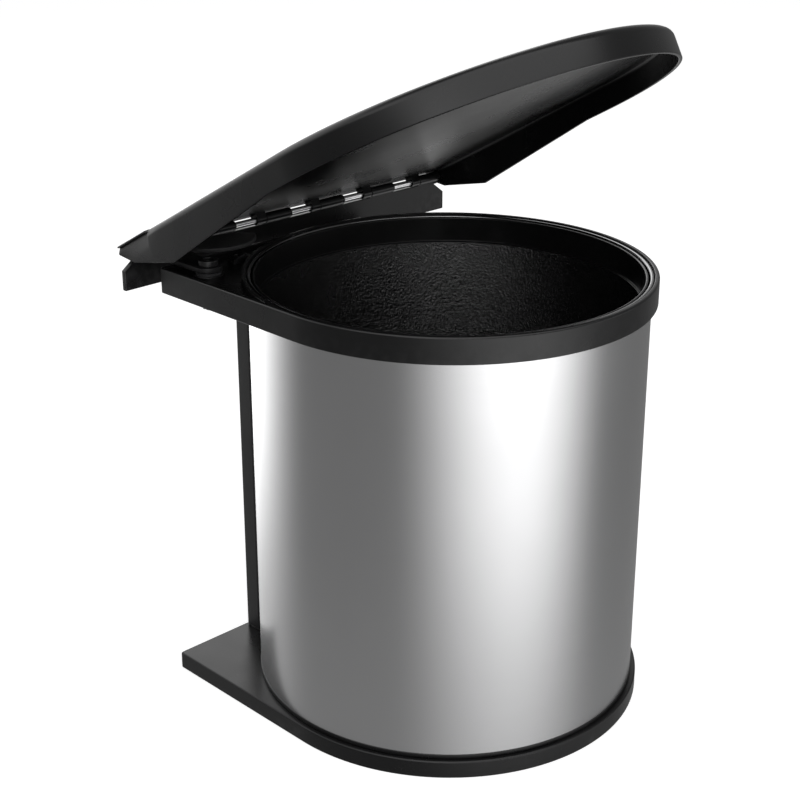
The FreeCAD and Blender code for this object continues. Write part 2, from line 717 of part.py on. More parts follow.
def make_wall_strip():
    """Strip screwed to the wall: thin sloped ends, a rebate for the arm, hinge sleeves along its top."""
    body = new_body("strip_bar")
    front = new_sketch(body, "strip_front_face", "XZ_Plane", "-(strip_front)")
    slope = "strip_top - strip_end_slope_height"
    level = "strip_half - strip_end_slope_length"
    draw_outline(front, [
        ("-(strip_half)", "strip_bottom"),
        ("strip_half", "strip_bottom"),
        ("strip_half", slope),
        (level, "strip_top"),
        (f"-({level})", "strip_top"),
        ("-(strip_half)", slope),
    ])
    pad(body, front, "strip_depth", reverse=True)
    pieces = [body]
    for index, (start, length) in enumerate(knuckle_row()):
        pieces.append(cylinder(f"sleeve_{index}", "knuckle_radius", length, start, "hinge_y", "hinge_z", "x"))
        pieces.append(box(f"sleeve_web_{index}", length, "knuckle_radius", "hinge_rise + knuckle_radius / 2",
                          start, "hinge_y", "strip_top - knuckle_radius / 2"))
    tools = [
        cylinder("strip_pin_bore", "pin_radius + running_gap", "2 * (strip_half + overrun)",
                 "-(strip_half) - overrun", "hinge_y", "hinge_z", "x"),
        box("strip_rebate", "arm_width + 2 * arm_seat_gap", "arm_seat + arm_seat_gap + overrun",
            "arm_thickness + overrun", "pivot_x - arm_width / 2 - arm_seat_gap", "strip_front - overrun",
            "arm_bottom"),
    ]
    for index, x in enumerate(arm_screw_places()):
        tools.append(cylinder(f"strip_pilot_{index}", "arm_screw_radius + screw_gap",
                              "arm_screw_length + screw_sink + overrun",
                              x, "strip_front + arm_seat / 2", "arm_screw_tip - screw_sink"))
    for index, start in enumerate(("-(strip_half) - overrun", "strip_half - strip_end_length")):
        tools.append(box(f"strip_end_{index}", "strip_end_length + overrun",
                         "strip_depth - strip_end_depth + overrun", "strip_height + 2 * overrun",
                         start, "strip_front + strip_end_depth", "strip_bottom - overrun"))
    for side in (-1, 1):
        name = f"wall_hole_{(side + 1) // 2}"
        x = f"{side} * wall_hole_spacing / 2"
        tools.append(cylinder(name, "wall_hole_radius", "strip_depth + 2 * overrun", x,
                              "strip_front - overrun", "wall_hole_z", "y"))
        tools.append(cone(f"{name}_sink", "wall_sink_radius", "wall_hole_radius", "wall_sink_depth", x,
                          "strip_front", "wall_hole_z", "y"))
    return cut("wall_strip", fuse("strip_blank", pieces), tools)


def arm_screw_places():
    """X formulas of the two arm screws."""
    return [f"pivot_x + {side} * arm_screw_spacing / 2" for side in (-1, 1)]


def make_pivot_arm():
    """Flat arm from the wall strip to the pivot, round at its front end."""
    body = new_body("arm_plate")
    outline = new_sketch(body, "arm_outline", "XY_Plane", "arm_bottom")
    draw_outline(outline, [
        ("pivot_x - arm_width / 2", "pivot_y", "pivot_x", "pivot_y", "left"),
        ("pivot_x + arm_width / 2", "pivot_y"),
        ("pivot_x + arm_width / 2", "strip_front + arm_seat"),
        ("pivot_x - arm_width / 2", "strip_front + arm_seat"),
    ])
    pad(body, outline, "arm_thickness")
    tools = [cylinder("arm_pivot_hole", "bolt_radius + running_gap", "arm_thickness + 2 * overrun",
                      "pivot_x", "pivot_y", "arm_bottom - overrun")]
    for index, x in enumerate(arm_screw_places()):
        y = "strip_front + arm_seat / 2"
        tools.append(cylinder(f"arm_hole_{index}", "arm_screw_radius + screw_gap",
                              "arm_thickness + 2 * overrun", x, y, "arm_bottom - overrun"))
        tools.append(cone(f"arm_sink_{index}", "arm_screw_radius + screw_gap",
                          "arm_screw_head_radius + screw_gap", "arm_screw_head_height", x, y,
                          "arm_top - arm_screw_head_height"))
    return cut("pivot_arm", body, tools)


def make_arm_screws():
    """Countersunk screws that hold the arm in the strip's rebate."""
    screws = []
    for index, x in enumerate(arm_screw_places()):
        y = "strip_front + arm_seat / 2"
        head = cone(f"arm_screw_{index}_head", "arm_screw_radius", "arm_screw_head_radius",
                    "arm_screw_head_height", x, y, "arm_top - arm_screw_head_height")
        shank = cylinder(f"arm_screw_{index}_shank", "arm_screw_radius", "arm_screw_length", x, y,
                         "arm_screw_tip")
        screws.append(fuse(f"arm_screw_{index}", [head, shank]))
    return group("arm_screws", screws)


def make_pivot_bolt():
    """Shoulder bolt with a hollow round head and a threaded end."""
    body = turned("pivot_bolt", [
        ("0", "bolt_shoulder_end - thread_length"),
        ("thread_radius", "bolt_shoulder_end - thread_length"),
        ("thread_radius", "bolt_shoulder_end"),
        ("bolt_radius", "bolt_shoulder_end"),
        ("bolt_radius", "arm_top"),
        ("bolt_head_radius", "arm_top"),
        ("bolt_head_radius", "arm_top + bolt_head_height"),
        ("bolt_socket_radius", "arm_top + bolt_head_height"),
        ("bolt_socket_radius", "arm_top + bolt_head_height - bolt_socket_depth"),
        ("0", "arm_top + bolt_head_height - bolt_socket_depth"),
    ])
    place(body, "pivot_x", "pivot_y")
    return body


def make_pivot_washer():
    """Washer against the bolt's shoulder, under the top ring."""
    body = turned("pivot_washer", [
        ("thread_radius + running_gap", "nut_top"),
        ("washer_radius", "nut_top"),
        ("washer_radius", "bolt_shoulder_end"),
        ("thread_radius + running_gap", "bolt_shoulder_end"),
    ])
    place(body, "pivot_x", "pivot_y")
    return body


def make_pivot_nut():
    """Hexagon nut on the bolt's threaded end."""
    body = new_body("pivot_nut")
    section = new_sketch(body, "nut_section", "XY_Plane", "nut_top")
    corner = "nut_flats / sqrt(3)"
    draw_outline(section, [(f"{corner} * cos({60 * index})", f"{corner} * sin({60 * index})")
                           for index in range(6)])
    draw_circle(section, "thread_radius + running_gap")
    pad(body, section, "nut_height", reverse=True)
    place(body, "pivot_x", "pivot_y")
    return body


def make_hinge_pin():
    """Straight pin through the strip's sleeves, the lid's eyes and the lift flap's eye."""
    return cylinder("hinge_pin", "pin_radius", "2 * pin_half", "-(pin_half)", "hinge_y", "hinge_z", "x")


def make_lift_flap():
    """Lens-shaped flap with an eye on the hinge pin."""
    body = new_body("flap_plate")
    outline = new_sketch(body, "flap_outline", "XY_Plane", "flap_bottom")
    middle = "(flap_left + flap_length / 2)"
    draw_outline(outline, [
        ("flap_left", "flap_mid_y", middle, "flap_mid_y + flap_bend", "left"),
        ("flap_right", "flap_mid_y", middle, "flap_mid_y - flap_bend", "left"),
    ])
    pad(body, outline, "flap_thickness")
    tongue = box("flap_tongue", "flap_eye_width", "hinge_y - flap_mid_y", "flap_thickness",
                 "flap_left", "flap_mid_y", "flap_bottom")
    eye = cylinder("flap_eye", "knuckle_radius", "flap_eye_width", "flap_left", "hinge_y", "hinge_z", "x")
    bore = cylinder("flap_bore", "pin_radius + running_gap", "flap_eye_width + 2 * overrun",
                    "flap_left - overrun", "hinge_y", "hinge_z", "x")
    under = box("flap_under", "flap_eye_width + 2 * overrun", "2 * knuckle_radius", "flap_thickness",
                "flap_left - overrun", "hinge_y - knuckle_radius",
                "hinge_z - knuckle_radius - flap_thickness")
    return cut("lift_flap", fuse("flap_blank", [body, tongue, eye]), [bore, under])


def make_lid_shell():
    """D-shaped lid with a skirt, deeper rear cheeks and hinge eyes, drawn about the hinge axis."""
    body = new_body("lid_block")
    outline = new_sketch(body, "lid_outline", "XY_Plane", "cheek_bottom")
    draw_outline(outline, d_outline("lid_half", "lid_arc_y", "lid_lip"))
    block = pad(body, outline, "lid_top_rise - cheek_bottom")
    round_top(body, block, "lid_round")
    hollow = new_body("lid_hollow")
    inside = new_sketch(hollow, "lid_inside", "XY_Plane", "cheek_bottom - overrun")
    draw_outline(inside, d_outline("lid_inner_half", "lid_arc_y", "lid_lip + overrun"))
    pad(hollow, inside, "plate_under - cheek_bottom + overrun")
    trim = new_body("lid_trim")
    edge = new_sketch(trim, "lid_edge", "YZ_Plane", "-(lid_half) - overrun")
    draw_outline(edge, [
        ("lid_front - overrun", "cheek_bottom - overrun"),
        ("lid_lip + overrun", "cheek_bottom - overrun"),
        ("lid_lip + overrun", "cheek_tail"),
        ("lid_lip", "cheek_tail"),
        ("-cheek_end", "-cheek_end_drop"),
        ("-cheek_corner", "cheek_bottom"),
        ("-cheek_start", "skirt_edge"),
        ("lid_front - overrun", "skirt_edge"),
    ])
    pad(trim, edge, "2 * (lid_half + overrun)")
    notch = box("lid_rear_notch", "2 * lid_inner_half", "lid_lip + overrun", "2 * lid_top_rise",
                "-(lid_inner_half)", "lid_plate_lip", "0")
    shell = cut("lid_open_shell", body, [hollow, trim, notch])
    pieces = [shell]
    for index, eye in enumerate(eye_places()):
        start = f"{eye} - eye_width / 2"
        pieces.append(cylinder(f"lid_eye_{index}", "knuckle_radius", "eye_width", start, along="x"))
        pieces.append(box(f"lid_eye_web_{index}", "eye_width", "2 * knuckle_radius",
                          "plate_under + lid_wall / 2", start, "-knuckle_radius", "0"))
    bore = cylinder("lid_bore", "pin_radius + running_gap", "2 * pin_half", "-(pin_half)", along="x")
    lid = cut("lid_shell", fuse("lid_blank", pieces), [bore])
    lid.Placement = Placement(Vector(), Rotation(Vector(-1, 0, 0), number("lid_open_angle")))
    lid.setExpression("Placement.Rotation.Angle", expression("lid_open_angle * 1 deg"))
    place(lid, "0", "hinge_y", "hinge_z")
    return lid


def build():
    """Make every sub-part and return them."""
    fill_sheet()
    parts = [
        make_base_plate(),
        make_foot_ring(),
        make_foot_ring_screws(),
        make_steel_can(),
        make_bucket(),
        make_top_ring(),
    ]
    for side, x in UPRIGHT_SIDES.items():
        parts.append(make_upright(side, x))
    parts += [
        make_tube_plugs(),
        make_upright_screws(),
        make_pivot_bush(),
        make_lift_cam(),
        make_cam_screw(),
        make_wall_strip(),
        make_pivot_arm(),
        make_arm_screws(),
        make_pivot_bolt(),
        make_pivot_washer(),
        make_pivot_nut(),
        make_hinge_pin(),
        make_lift_flap(),
        make_lid_shell(),
    ]
    doc.recompute()
    return parts


def check(parts):
    """Stop if any object failed or any sub-part has no valid shape."""
    for item in doc.Objects:
        if "Invalid" in item.State or "Error" in item.State:
            raise RuntimeError(f"{item.Label} failed: {item.State}")
    for part in parts:
        if part.Shape.isNull() or not part.Shape.isValid() or not part.Shape.Solids:
            raise RuntimeError(f"{part.Label} has no valid solid")


def export(parts):
    """Write each sub-part to its own file and print its size."""
    os.makedirs("parts", exist_ok=True)
    for part in parts:
        part.Shape.exportStep(f"parts/{part.Label}.step")
        bounds = part.Shape.BoundBox
        print(f"{part.Label}: {len(part.Shape.Solids)} solids, {part.Shape.Volume / 1000:.2f} cm3, "
              f"x {bounds.XMin:.1f} {bounds.XMax:.1f} y {bounds.YMin:.1f} {bounds.YMax:.1f} "
              f"z {bounds.ZMin:.1f} {bounds.ZMax:.1f}")


sub_parts = build()
check(sub_parts)
export(sub_parts)
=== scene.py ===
"""Looks of a swing-out cabinet bin: rounded pieces, finishes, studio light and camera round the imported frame.

Metres, in the frame's own axes: the origin on the floor under the can's axis, +Y towards the wall, +Z up.
"""
import json
import logging
import math
from collections.abc import Callable, Sequence
from dataclasses import dataclass
from enum import Enum
from functools import cache

import bmesh
import bpy
from mathutils import Matrix, Vector


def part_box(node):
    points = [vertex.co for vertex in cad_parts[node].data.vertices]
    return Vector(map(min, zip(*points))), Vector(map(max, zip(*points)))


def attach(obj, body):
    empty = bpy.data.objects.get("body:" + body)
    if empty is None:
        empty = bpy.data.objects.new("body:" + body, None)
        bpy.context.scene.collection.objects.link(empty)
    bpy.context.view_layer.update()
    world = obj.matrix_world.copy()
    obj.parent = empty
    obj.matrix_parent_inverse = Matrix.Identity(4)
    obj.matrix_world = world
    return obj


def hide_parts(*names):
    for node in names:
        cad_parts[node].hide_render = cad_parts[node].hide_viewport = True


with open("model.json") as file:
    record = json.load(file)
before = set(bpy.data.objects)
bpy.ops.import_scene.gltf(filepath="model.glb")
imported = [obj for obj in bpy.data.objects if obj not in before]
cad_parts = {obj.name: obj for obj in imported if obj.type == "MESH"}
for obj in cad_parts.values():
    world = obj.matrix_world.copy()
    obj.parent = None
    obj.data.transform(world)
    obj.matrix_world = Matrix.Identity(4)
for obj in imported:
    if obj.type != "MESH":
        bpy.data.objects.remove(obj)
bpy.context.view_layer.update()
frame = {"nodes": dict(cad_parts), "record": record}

LOG = logging.getLogger("cabinet_bin")

Shape = bmesh.types.BMesh
Verts = list[bmesh.types.BMVert]
Edges = list[bmesh.types.BMEdge]
Node = bpy.types.Node
Socket = bpy.types.NodeSocket
Point = Sequence[float]
Span = tuple[float, float]
Colour = tuple[float, float, float]

FULL_TURN = 2 * math.pi
HALF_TURN = math.pi
QUARTER_TURN = math.pi / 2
Y_AXIS = (0.0, 1.0, 0.0)
Z_AXIS = (0.0, 0.0, 1.0)
MERGE_DISTANCE = 1e-6
ROUND_STEPS = 192
SMALL_ROUND_STEPS = 48
CROWN_SEGMENTS = 5
EDGE_SEGMENTS = 3
SMOOTH_ANGLE = math.radians(38)
SHARP_ANGLE = math.radians(30)
FLAT_ANGLE = math.radians(0.4)

# Patterns of the finishes: sizes, and the spans of noise over which a mask goes from none to full
SPECKS_PER_METRE = 900.0
DUST_PATCHES_PER_METRE = 22.0
RUBS_PER_METRE = 160.0
DUST_ROUGHNESS = 0.3
STREAK_STRETCH = (3.0, 3.0, 0.6)
CLOUD_SHARE = 0.7
PEBBLE_SPAN = (0.42, 0.62)
FILM_SPAN = (0.36, 0.64)
LEVEL_SPAN = (0.55, 0.95)
SPECK_SPAN = (0.60, 0.74)
PATCH_SPAN = (0.35, 0.70)
EDGE_SPAN = (0.52, 0.60)
RUB_SPAN = (0.40, 0.66)
LINE_SPAN = (0.35, 0.65)

# Socket numbers of a Mix node, whose inputs share their names: for numbers, then for colours
MIX_SHARE, MIX_FIRST, MIX_SECOND = 0, 2, 3
MIX_FIRST_COLOUR, MIX_SECOND_COLOUR, MIXED_COLOUR = 6, 7, 2


class Body(Enum):
    """The bodies that pieces ride on."""

    FRAME = "swing_frame"
    BRACKET = "wall_bracket"
    LIFTER = "lid_lifter"
    LID = "lid"


class Slot(Enum):
    """The record's material slots."""

    FRAME_PLASTIC = "frame_plastic"
    LID_PLASTIC = "lid_plastic"
    TUBE_PAINT = "tube_paint"
    CAN_STEEL = "can_steel"
    PIN_STEEL = "pin_steel"
    BOLT_STEEL = "bolt_steel"
    BUCKET_PLASTIC = "bucket_plastic"


@dataclass(frozen=True)
class NodeBox:
    """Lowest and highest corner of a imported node."""

    low: Vector
    high: Vector

    @classmethod
    @cache
    def of(cls, node: str) -> "NodeBox":
        """The box of a node by its name."""
        low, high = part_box(node)
        return cls(low, high)

    @property
    def middle(self) -> Vector:
        """The middle of the box."""
        return (self.low + self.high) / 2

    @property
    def size(self) -> Vector:
        """The box's width, depth and height."""
        return self.high - self.low


class NodeGraph:
    """Adds shader nodes to one tree and joins them."""

    def __init__(self, tree: bpy.types.NodeTree) -> None:
        """Start on a tree."""
        self.tree = tree

    def add(self, kind: str, **settings: object) -> Node:
        """Add a node and set its properties.

        Args:
            kind: the node's type, without a leading "ShaderNode".
            settings: property names and values.

        Returns:
            The new node.
        """
        node = self.tree.nodes.new(kind if kind.startswith("NodeGroup") else f"ShaderNode{kind}")
        for name, value in settings.items():
            setattr(node, name, value)
        return node

    def join(self, source: Socket, target: Socket) -> None:
        """Link an output to an input."""
        self.tree.links.new(source, target)

    def feed(self, target: Socket, value: object) -> None:
        """Give an input either a link or a plain value.

        Args:
            target: the input.
            value: an output socket to link, or a number, vector or colour to set.
        """
        if isinstance(value, Socket):
            self.join(value, target)
        else:
            target.default_value = value

    def run(self, kind: str, inputs: dict[str | int, object], output: str | int = 0,
            **settings: object) -> Socket:
        """Add a node, feed it and give one of its outputs.

        Args:
            kind: the node's type, without a leading "ShaderNode".
            inputs: what goes in, by the input's name or number: sockets, numbers, vectors or colours.
            output: the name or number of the output.
            settings: property names and values.

        Returns:
            The output's socket.
        """
        node = self.add(kind, **settings)
        for key, value in inputs.items():
            self.feed(node.inputs[key], value)
        return node.outputs[output]

    def math(self, operation: str, first: object, second: object = 0.0) -> Socket:
        """The result of a Math node's operation on sockets or numbers."""
        return self.run("Math", {0: first, 1: second}, operation=operation)

    def plus(self, first: object, second: object) -> Socket:
        """The sum of two values."""
        return self.math("ADD", first, second)

    def times(self, first: object, second: object) -> Socket:
        """The product of two values."""
        return self.math("MULTIPLY", first, second)

    def ease(self, value: Socket, span: Span, low: float = 0.0, high: float = 1.0) -> Socket:
        """A smooth step from a low level to a high one, as a value goes through a span."""
        ends = {"Value": value, "From Min": span[0], "From Max": span[1], "To Min": low, "To Max": high}
        return self.run("MapRange", ends, "Result", interpolation_type="SMOOTHSTEP")

    def noise(self, vector: Socket, scale: object, detail: float = 2.0, roughness: float = 0.5) -> Socket:
        """Noise on coordinates, by features per metre, octaves and the strength of the finer octaves."""
        inputs = {"Vector": vector, "Scale": scale, "Detail": detail, "Roughness": roughness}
        return self.run("TexNoise", inputs, "Fac")

    def stretch(self, vector: Socket, scale: Point) -> Socket:
        """Coordinates scaled along X, Y and Z."""
        return self.run("Mapping", {"Vector": vector, "Scale": scale}, "Vector")

    def blend(self, share: object, first: object, second: object) -> Socket:
        """A mix of two colours, by the share of the second."""
        inputs = {MIX_SHARE: share, MIX_FIRST_COLOUR: first, MIX_SECOND_COLOUR: second}
        return self.run("Mix", inputs, MIXED_COLOUR, data_type="RGBA")

    def mix(self, share: object, first: object, second: object) -> Socket:
        """A mix of two numbers, by the share of the second."""
        return self.run("Mix", {MIX_SHARE: share, MIX_FIRST: first, MIX_SECOND: second}, data_type="FLOAT")

    def relief(self, height: Socket, distance: float, strength: float) -> Socket:
        """A normal from a height, by how deep it goes and how much of it shows."""
        return self.run("Bump", {"Distance": distance, "Strength": strength, "Height": height}, "Normal")


def fresh_graph(holder: bpy.types.Material | bpy.types.World) -> NodeGraph:
    """Clear the node tree of a material or world.

    Args:
        holder: what the tree belongs to.

    Returns:
        The empty tree, ready for nodes.
    """
    holder.use_nodes = True
    holder.node_tree.nodes.clear()
    return NodeGraph(holder.node_tree)


def opaque(colour: Colour) -> tuple[float, float, float, float]:
    """A colour with its alpha."""
    return (*colour, 1.0)


def shared_group(name: str, inputs: dict[str, float], outputs: Sequence[str],
                 fill: Callable[[NodeGraph, Node, Node], None]) -> bpy.types.NodeTree:
    """Build a shader node group once, and give the same one after that.

    Args:
        name: the group's name.
        inputs: number inputs and their values; a Vector input comes before them.
        outputs: number outputs.
        fill: makes the nodes between the group's input and output nodes.

    Returns:
        The node group.
    """
    made = bpy.data.node_groups.get(name)
    if made:
        return made
    tree = bpy.data.node_groups.new(name, "ShaderNodeTree")
    tree.interface.new_socket(name="Vector", in_out="INPUT", socket_type="NodeSocketVector")
    for label, value in inputs.items():
        socket = tree.interface.new_socket(name=label, in_out="INPUT", socket_type="NodeSocketFloat")
        socket.default_value = value
    for label in outputs:
        tree.interface.new_socket(name=label, in_out="OUTPUT", socket_type="NodeSocketFloat")
    graph = NodeGraph(tree)
    fill(graph, graph.add("NodeGroupInput"), graph.add("NodeGroupOutput"))
    return tree


def fill_grain(graph: NodeGraph, source: Node, result: Node) -> None:
    """Moulded grain: a pebbled height and the same pebbles as a mask.

    Args:
        graph: the group's tree.
        source: its input node.
        result: its output node.
    """
    scale = graph.math("DIVIDE", 1.0, source.outputs["Size"])
    pebble = graph.noise(source.outputs["Vector"], scale, detail=3.0, roughness=0.6)
    graph.join(pebble, result.inputs["Height"])
    graph.join(graph.ease(pebble, PEBBLE_SPAN), result.inputs["Mask"])


def fill_film(graph: NodeGraph, source: Node, result: Node) -> None:
    """Handling film: soft cloudy patches with a few drier streaks.

    Args:
        graph: the group's tree.
        source: its input node.
        result: its output node.
    """
    scale = graph.math("DIVIDE", 1.0, source.outputs["Size"])
    cloud = graph.noise(source.outputs["Vector"], scale, detail=4.0, roughness=0.55)
    streak = graph.noise(graph.stretch(source.outputs["Vector"], STREAK_STRETCH), scale)
    mixed = graph.plus(graph.times(cloud, CLOUD_SHARE), graph.times(streak, 1 - CLOUD_SHARE))
    graph.join(graph.ease(mixed, FILM_SPAN), result.inputs["Mask"])


def fill_dust(graph: NodeGraph, source: Node, result: Node) -> None:
    """Dust: specks that settle on faces that look up.

    Args:
        graph: the group's tree.
        source: its input node.
        result: its output node.
    """
    normal = graph.add("SeparateXYZ")
    graph.join(graph.add("NewGeometry").outputs["Normal"], normal.inputs[0])
    facing = graph.ease(normal.outputs["Z"], LEVEL_SPAN)
    specks = graph.ease(graph.noise(source.outputs["Vector"], SPECKS_PER_METRE), SPECK_SPAN)
    cloud = graph.noise(source.outputs["Vector"], DUST_PATCHES_PER_METRE, detail=3.0)
    patches = graph.ease(cloud, PATCH_SPAN)
    settled = graph.times(graph.times(specks, patches), facing)
    graph.join(graph.times(settled, source.outputs["Amount"]), result.inputs["Mask"])


def fill_wear(graph: NodeGraph, source: Node, result: Node) -> None:
    """Edge wear: rubbed bright along convex edges, broken up by noise.

    Args:
        graph: the group's tree.
        source: its input node.
        result: its output node.
    """
    edge = graph.ease(graph.add("NewGeometry").outputs["Pointiness"], EDGE_SPAN)
    rubbed = graph.ease(graph.noise(source.outputs["Vector"], RUBS_PER_METRE, detail=4.0), RUB_SPAN)
    graph.join(graph.times(graph.times(edge, rubbed), source.outputs["Amount"]), result.inputs["Mask"])


class Effect(Enum):
    """Effects that more than one finish uses."""

    GRAIN = "moulded_grain"
    FILM = "handling_film"
    DUST = "settled_dust"
    WEAR = "edge_wear"

    def tree(self) -> bpy.types.NodeTree:
        """The effect's node group.

        Returns:
            The group, built when it is first asked for.
        """
        inputs, outputs, fill = {
            Effect.GRAIN: ({"Size": 0.0005}, ("Height", "Mask"), fill_grain),
            Effect.FILM: ({"Size": 0.08}, ("Mask",), fill_film),
            Effect.DUST: ({"Amount": 0.3}, ("Mask",), fill_dust),
            Effect.WEAR: ({"Amount": 0.3}, ("Mask",), fill_wear),
        }[self]
        return shared_group(self.value, inputs, outputs, fill)

    def place(self, graph: NodeGraph, vector: Socket, **values: float) -> Node:
        """Put the effect's group in a material.

        Args:
            graph: the material's tree.
            vector: the coordinates that it reads.
            values: its own input values, by name.

        Returns:
            The group's node.
        """
        node = graph.add("Group", node_tree=self.tree())
        graph.join(vector, node.inputs["Vector"])
        for name, value in values.items():
            node.inputs[name.capitalize()].default_value = value
        return node


@dataclass(frozen=True)
class Coating:
    """What every finish has: its name, its colour and how rough it is."""

    name: str
    colour: Colour
    roughness: float

    def material(self) -> bpy.types.Material:
        """Build the finish, or give the one already built.

        Returns:
            The material.
        """
        made = bpy.data.materials.get(self.name)
        if made:
            return made
        material = bpy.data.materials.new(self.name)
        graph = fresh_graph(material)
        shader = graph.add("BsdfPrincipled")
        graph.join(shader.outputs["BSDF"], graph.add("OutputMaterial").inputs["Surface"])
        self.dress(graph, shader, graph.add("TexCoord").outputs["Object"])
        return material

    def dress(self, graph: NodeGraph, shader: Node, place: Socket) -> None:
        """Feed the shader; each kind of finish has its own way."""
        raise NotImplementedError

    def shade(self, loss: float) -> tuple[float, float, float, float]:
        """The colour with a share of it lost."""
        return opaque(tuple(level * (1 - loss) for level in self.colour))


@dataclass(frozen=True)
class Moulding(Coating):
    """Moulded black plastic: grain, film, dust and rubbed edges."""

    grain_size: float = 0.0005
    grain_depth: float = 0.00002
    grain_strength: float = 0.25
    film_size: float = 0.07
    film_spread: float = 0.06
    dust: float = 0.10
    wear: float = 0.20
    worn_colour: Colour = (0.075, 0.075, 0.077)
    dust_colour: Colour = (0.20, 0.195, 0.185)
    mottle: float = 0.25
    ior: float = 1.5

    def dress(self, graph: NodeGraph, shader: Node, place: Socket) -> None:
        """Feed the shader.

        Args:
            graph: the material's tree.
            shader: its shader.
            place: the coordinates that its patterns read.
        """
        grain = Effect.GRAIN.place(graph, place, size=self.grain_size)
        film = Effect.FILM.place(graph, place, size=self.film_size)
        dust = Effect.DUST.place(graph, place, amount=self.dust)
        wear = Effect.WEAR.place(graph, place, amount=self.wear)
        base = graph.blend(grain.outputs["Mask"], self.shade(self.mottle), opaque(self.colour))
        base = graph.blend(wear.outputs["Mask"], base, opaque(self.worn_colour))
        base = graph.blend(dust.outputs["Mask"], base, opaque(self.dust_colour))
        graph.join(base, shader.inputs["Base Color"])
        rough = graph.ease(film.outputs["Mask"], (0.0, 1.0), self.roughness - self.film_spread,
                           self.roughness + self.film_spread)
        dusty = graph.plus(rough, graph.times(dust.outputs["Mask"], DUST_ROUGHNESS))
        graph.join(dusty, shader.inputs["Roughness"])
        relief = graph.relief(grain.outputs["Height"], self.grain_depth, self.grain_strength)
        graph.join(relief, shader.inputs["Normal"])
        shader.inputs["IOR"].default_value = self.ior


@dataclass(frozen=True)
class Steel(Coating):
    """Bare or plated steel with a drawn or brushed direction."""

    lines: tuple[float, float, float] = (12.0, 12.0, 2600.0)
    line_depth: float = 0.000004
    line_strength: float = 0.2
    line_spread: float = 0.03
    film_size: float = 0.12
    film_spread: float = 0.03
    dust: float = 0.05
    dulled: float = 0.08

    def dress(self, graph: NodeGraph, shader: Node, place: Socket) -> None:
        """Feed the shader.

        Args:
            graph: the material's tree.
            shader: its shader.
            place: the coordinates that its patterns read.
        """
        lines = graph.noise(graph.stretch(place, self.lines), 1.0, detail=3.0, roughness=0.6)
        film = Effect.FILM.place(graph, place, size=self.film_size)
        dust = Effect.DUST.place(graph, place, amount=self.dust)
        base = graph.blend(film.outputs["Mask"], opaque(self.colour), self.shade(self.dulled))
        graph.join(base, shader.inputs["Base Color"])
        drawn = graph.ease(lines, LINE_SPAN, self.roughness - self.line_spread,
                           self.roughness + self.line_spread)
        filmed = graph.plus(drawn, graph.times(film.outputs["Mask"], self.film_spread))
        dusty = graph.plus(filmed, graph.times(dust.outputs["Mask"], DUST_ROUGHNESS))
        graph.join(dusty, shader.inputs["Roughness"])
        graph.join(graph.relief(lines, self.line_depth, self.line_strength), shader.inputs["Normal"])
        shader.inputs["Metallic"].default_value = 1.0


class Finish:
    """The bin's finishes."""

    FRAME = Moulding("satin_black_moulding", (0.0060, 0.0060, 0.0063), 0.30, film_spread=0.03, ior=1.41)
    LID = Moulding("lid_black_moulding", (0.0050, 0.0050, 0.0053), 0.28, grain_size=0.0004, film_size=0.11,
                   film_spread=0.02, wear=0.03, ior=1.41)
    # The flap's colour is a dark grey well above the frame's black. This is painted light: it stands in for the
    # light that the lid shades off the flap's top.
    FLAP = Moulding("flap_moulding_painted_light", (0.045, 0.045, 0.046), 0.52, grain_size=0.0004)
    COLLAR = Moulding("smooth_dark_moulding", (0.006, 0.006, 0.0063), 0.34, grain_strength=0.12, dust=0.05)
    TEXTURED = Moulding("pebbled_dark_moulding", (0.0012, 0.0012, 0.0013), 0.22, grain_size=0.0015,
                        grain_depth=0.0008, grain_strength=1.0, mottle=0.4, dust=0.02, ior=2.0)
    NYLON = Moulding("dark_nylon", (0.030, 0.030, 0.032), 0.40, grain_strength=0.1)
    PAINT = Moulding("black_powder_coat", (0.010, 0.010, 0.0105), 0.38, grain_size=0.0008,
                     grain_depth=0.00004, grain_strength=0.3)
    OXIDE = Moulding("black_oxide", (0.012, 0.012, 0.0125), 0.30, grain_size=0.0003, wear=0.5,
                     worn_colour=(0.10, 0.10, 0.10))
    CAN = Steel("satin_can_steel", (0.60, 0.60, 0.605), 0.25, line_strength=0.04, line_spread=0.008,
                film_spread=0.015, dulled=0.04)
    # The rim is the can's own steel, but its colour is much darker than the can's. This is painted shade: it
    # dims the rim's reflections where the lid hangs over it.
    RIM = Steel("polished_rim_steel_painted_shade", (0.28, 0.28, 0.283), 0.12, line_strength=0.05, line_spread=0.01)
    PIN = Steel("bright_pin_steel", (0.92, 0.92, 0.925), 0.30, lines=(900.0, 900.0, 900.0),
                line_strength=0.03, line_spread=0.02)
    PLATED = Steel("zinc_plate", (0.56, 0.56, 0.57), 0.30, lines=(900.0, 900.0, 900.0), line_spread=0.05)


def make_piece(name: str, shape: Shape, body: Body, finishes: Sequence[Coating],
               node: str) -> None:
    """Turn a shape into a dressed piece of the object that rides on a body.

    Args:
        name: the piece's name.
        shape: its bmesh, which is used up.
        body: the body that it rides on.
        finishes: its materials, in the order of its faces' material numbers.
        node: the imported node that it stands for.
    """
    mesh = bpy.data.meshes.new(name)
    shape.to_mesh(mesh)
    shape.free()
    piece = bpy.data.objects.new(name, mesh)
    bpy.context.scene.collection.objects.link(piece)
    for finish in finishes:
        mesh.materials.append(finish.material())
    mesh.polygons.foreach_set("use_smooth", [True] * len(mesh.polygons))
    mesh.set_sharp_from_angle(angle=SMOOTH_ANGLE)
    even = piece.modifiers.new("even_normals", "WEIGHTED_NORMAL")
    even.keep_sharp = True
    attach(piece, body.value)
    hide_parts(node)
    LOG.info("%s: %d faces on %s", name, len(mesh.polygons), body.value)


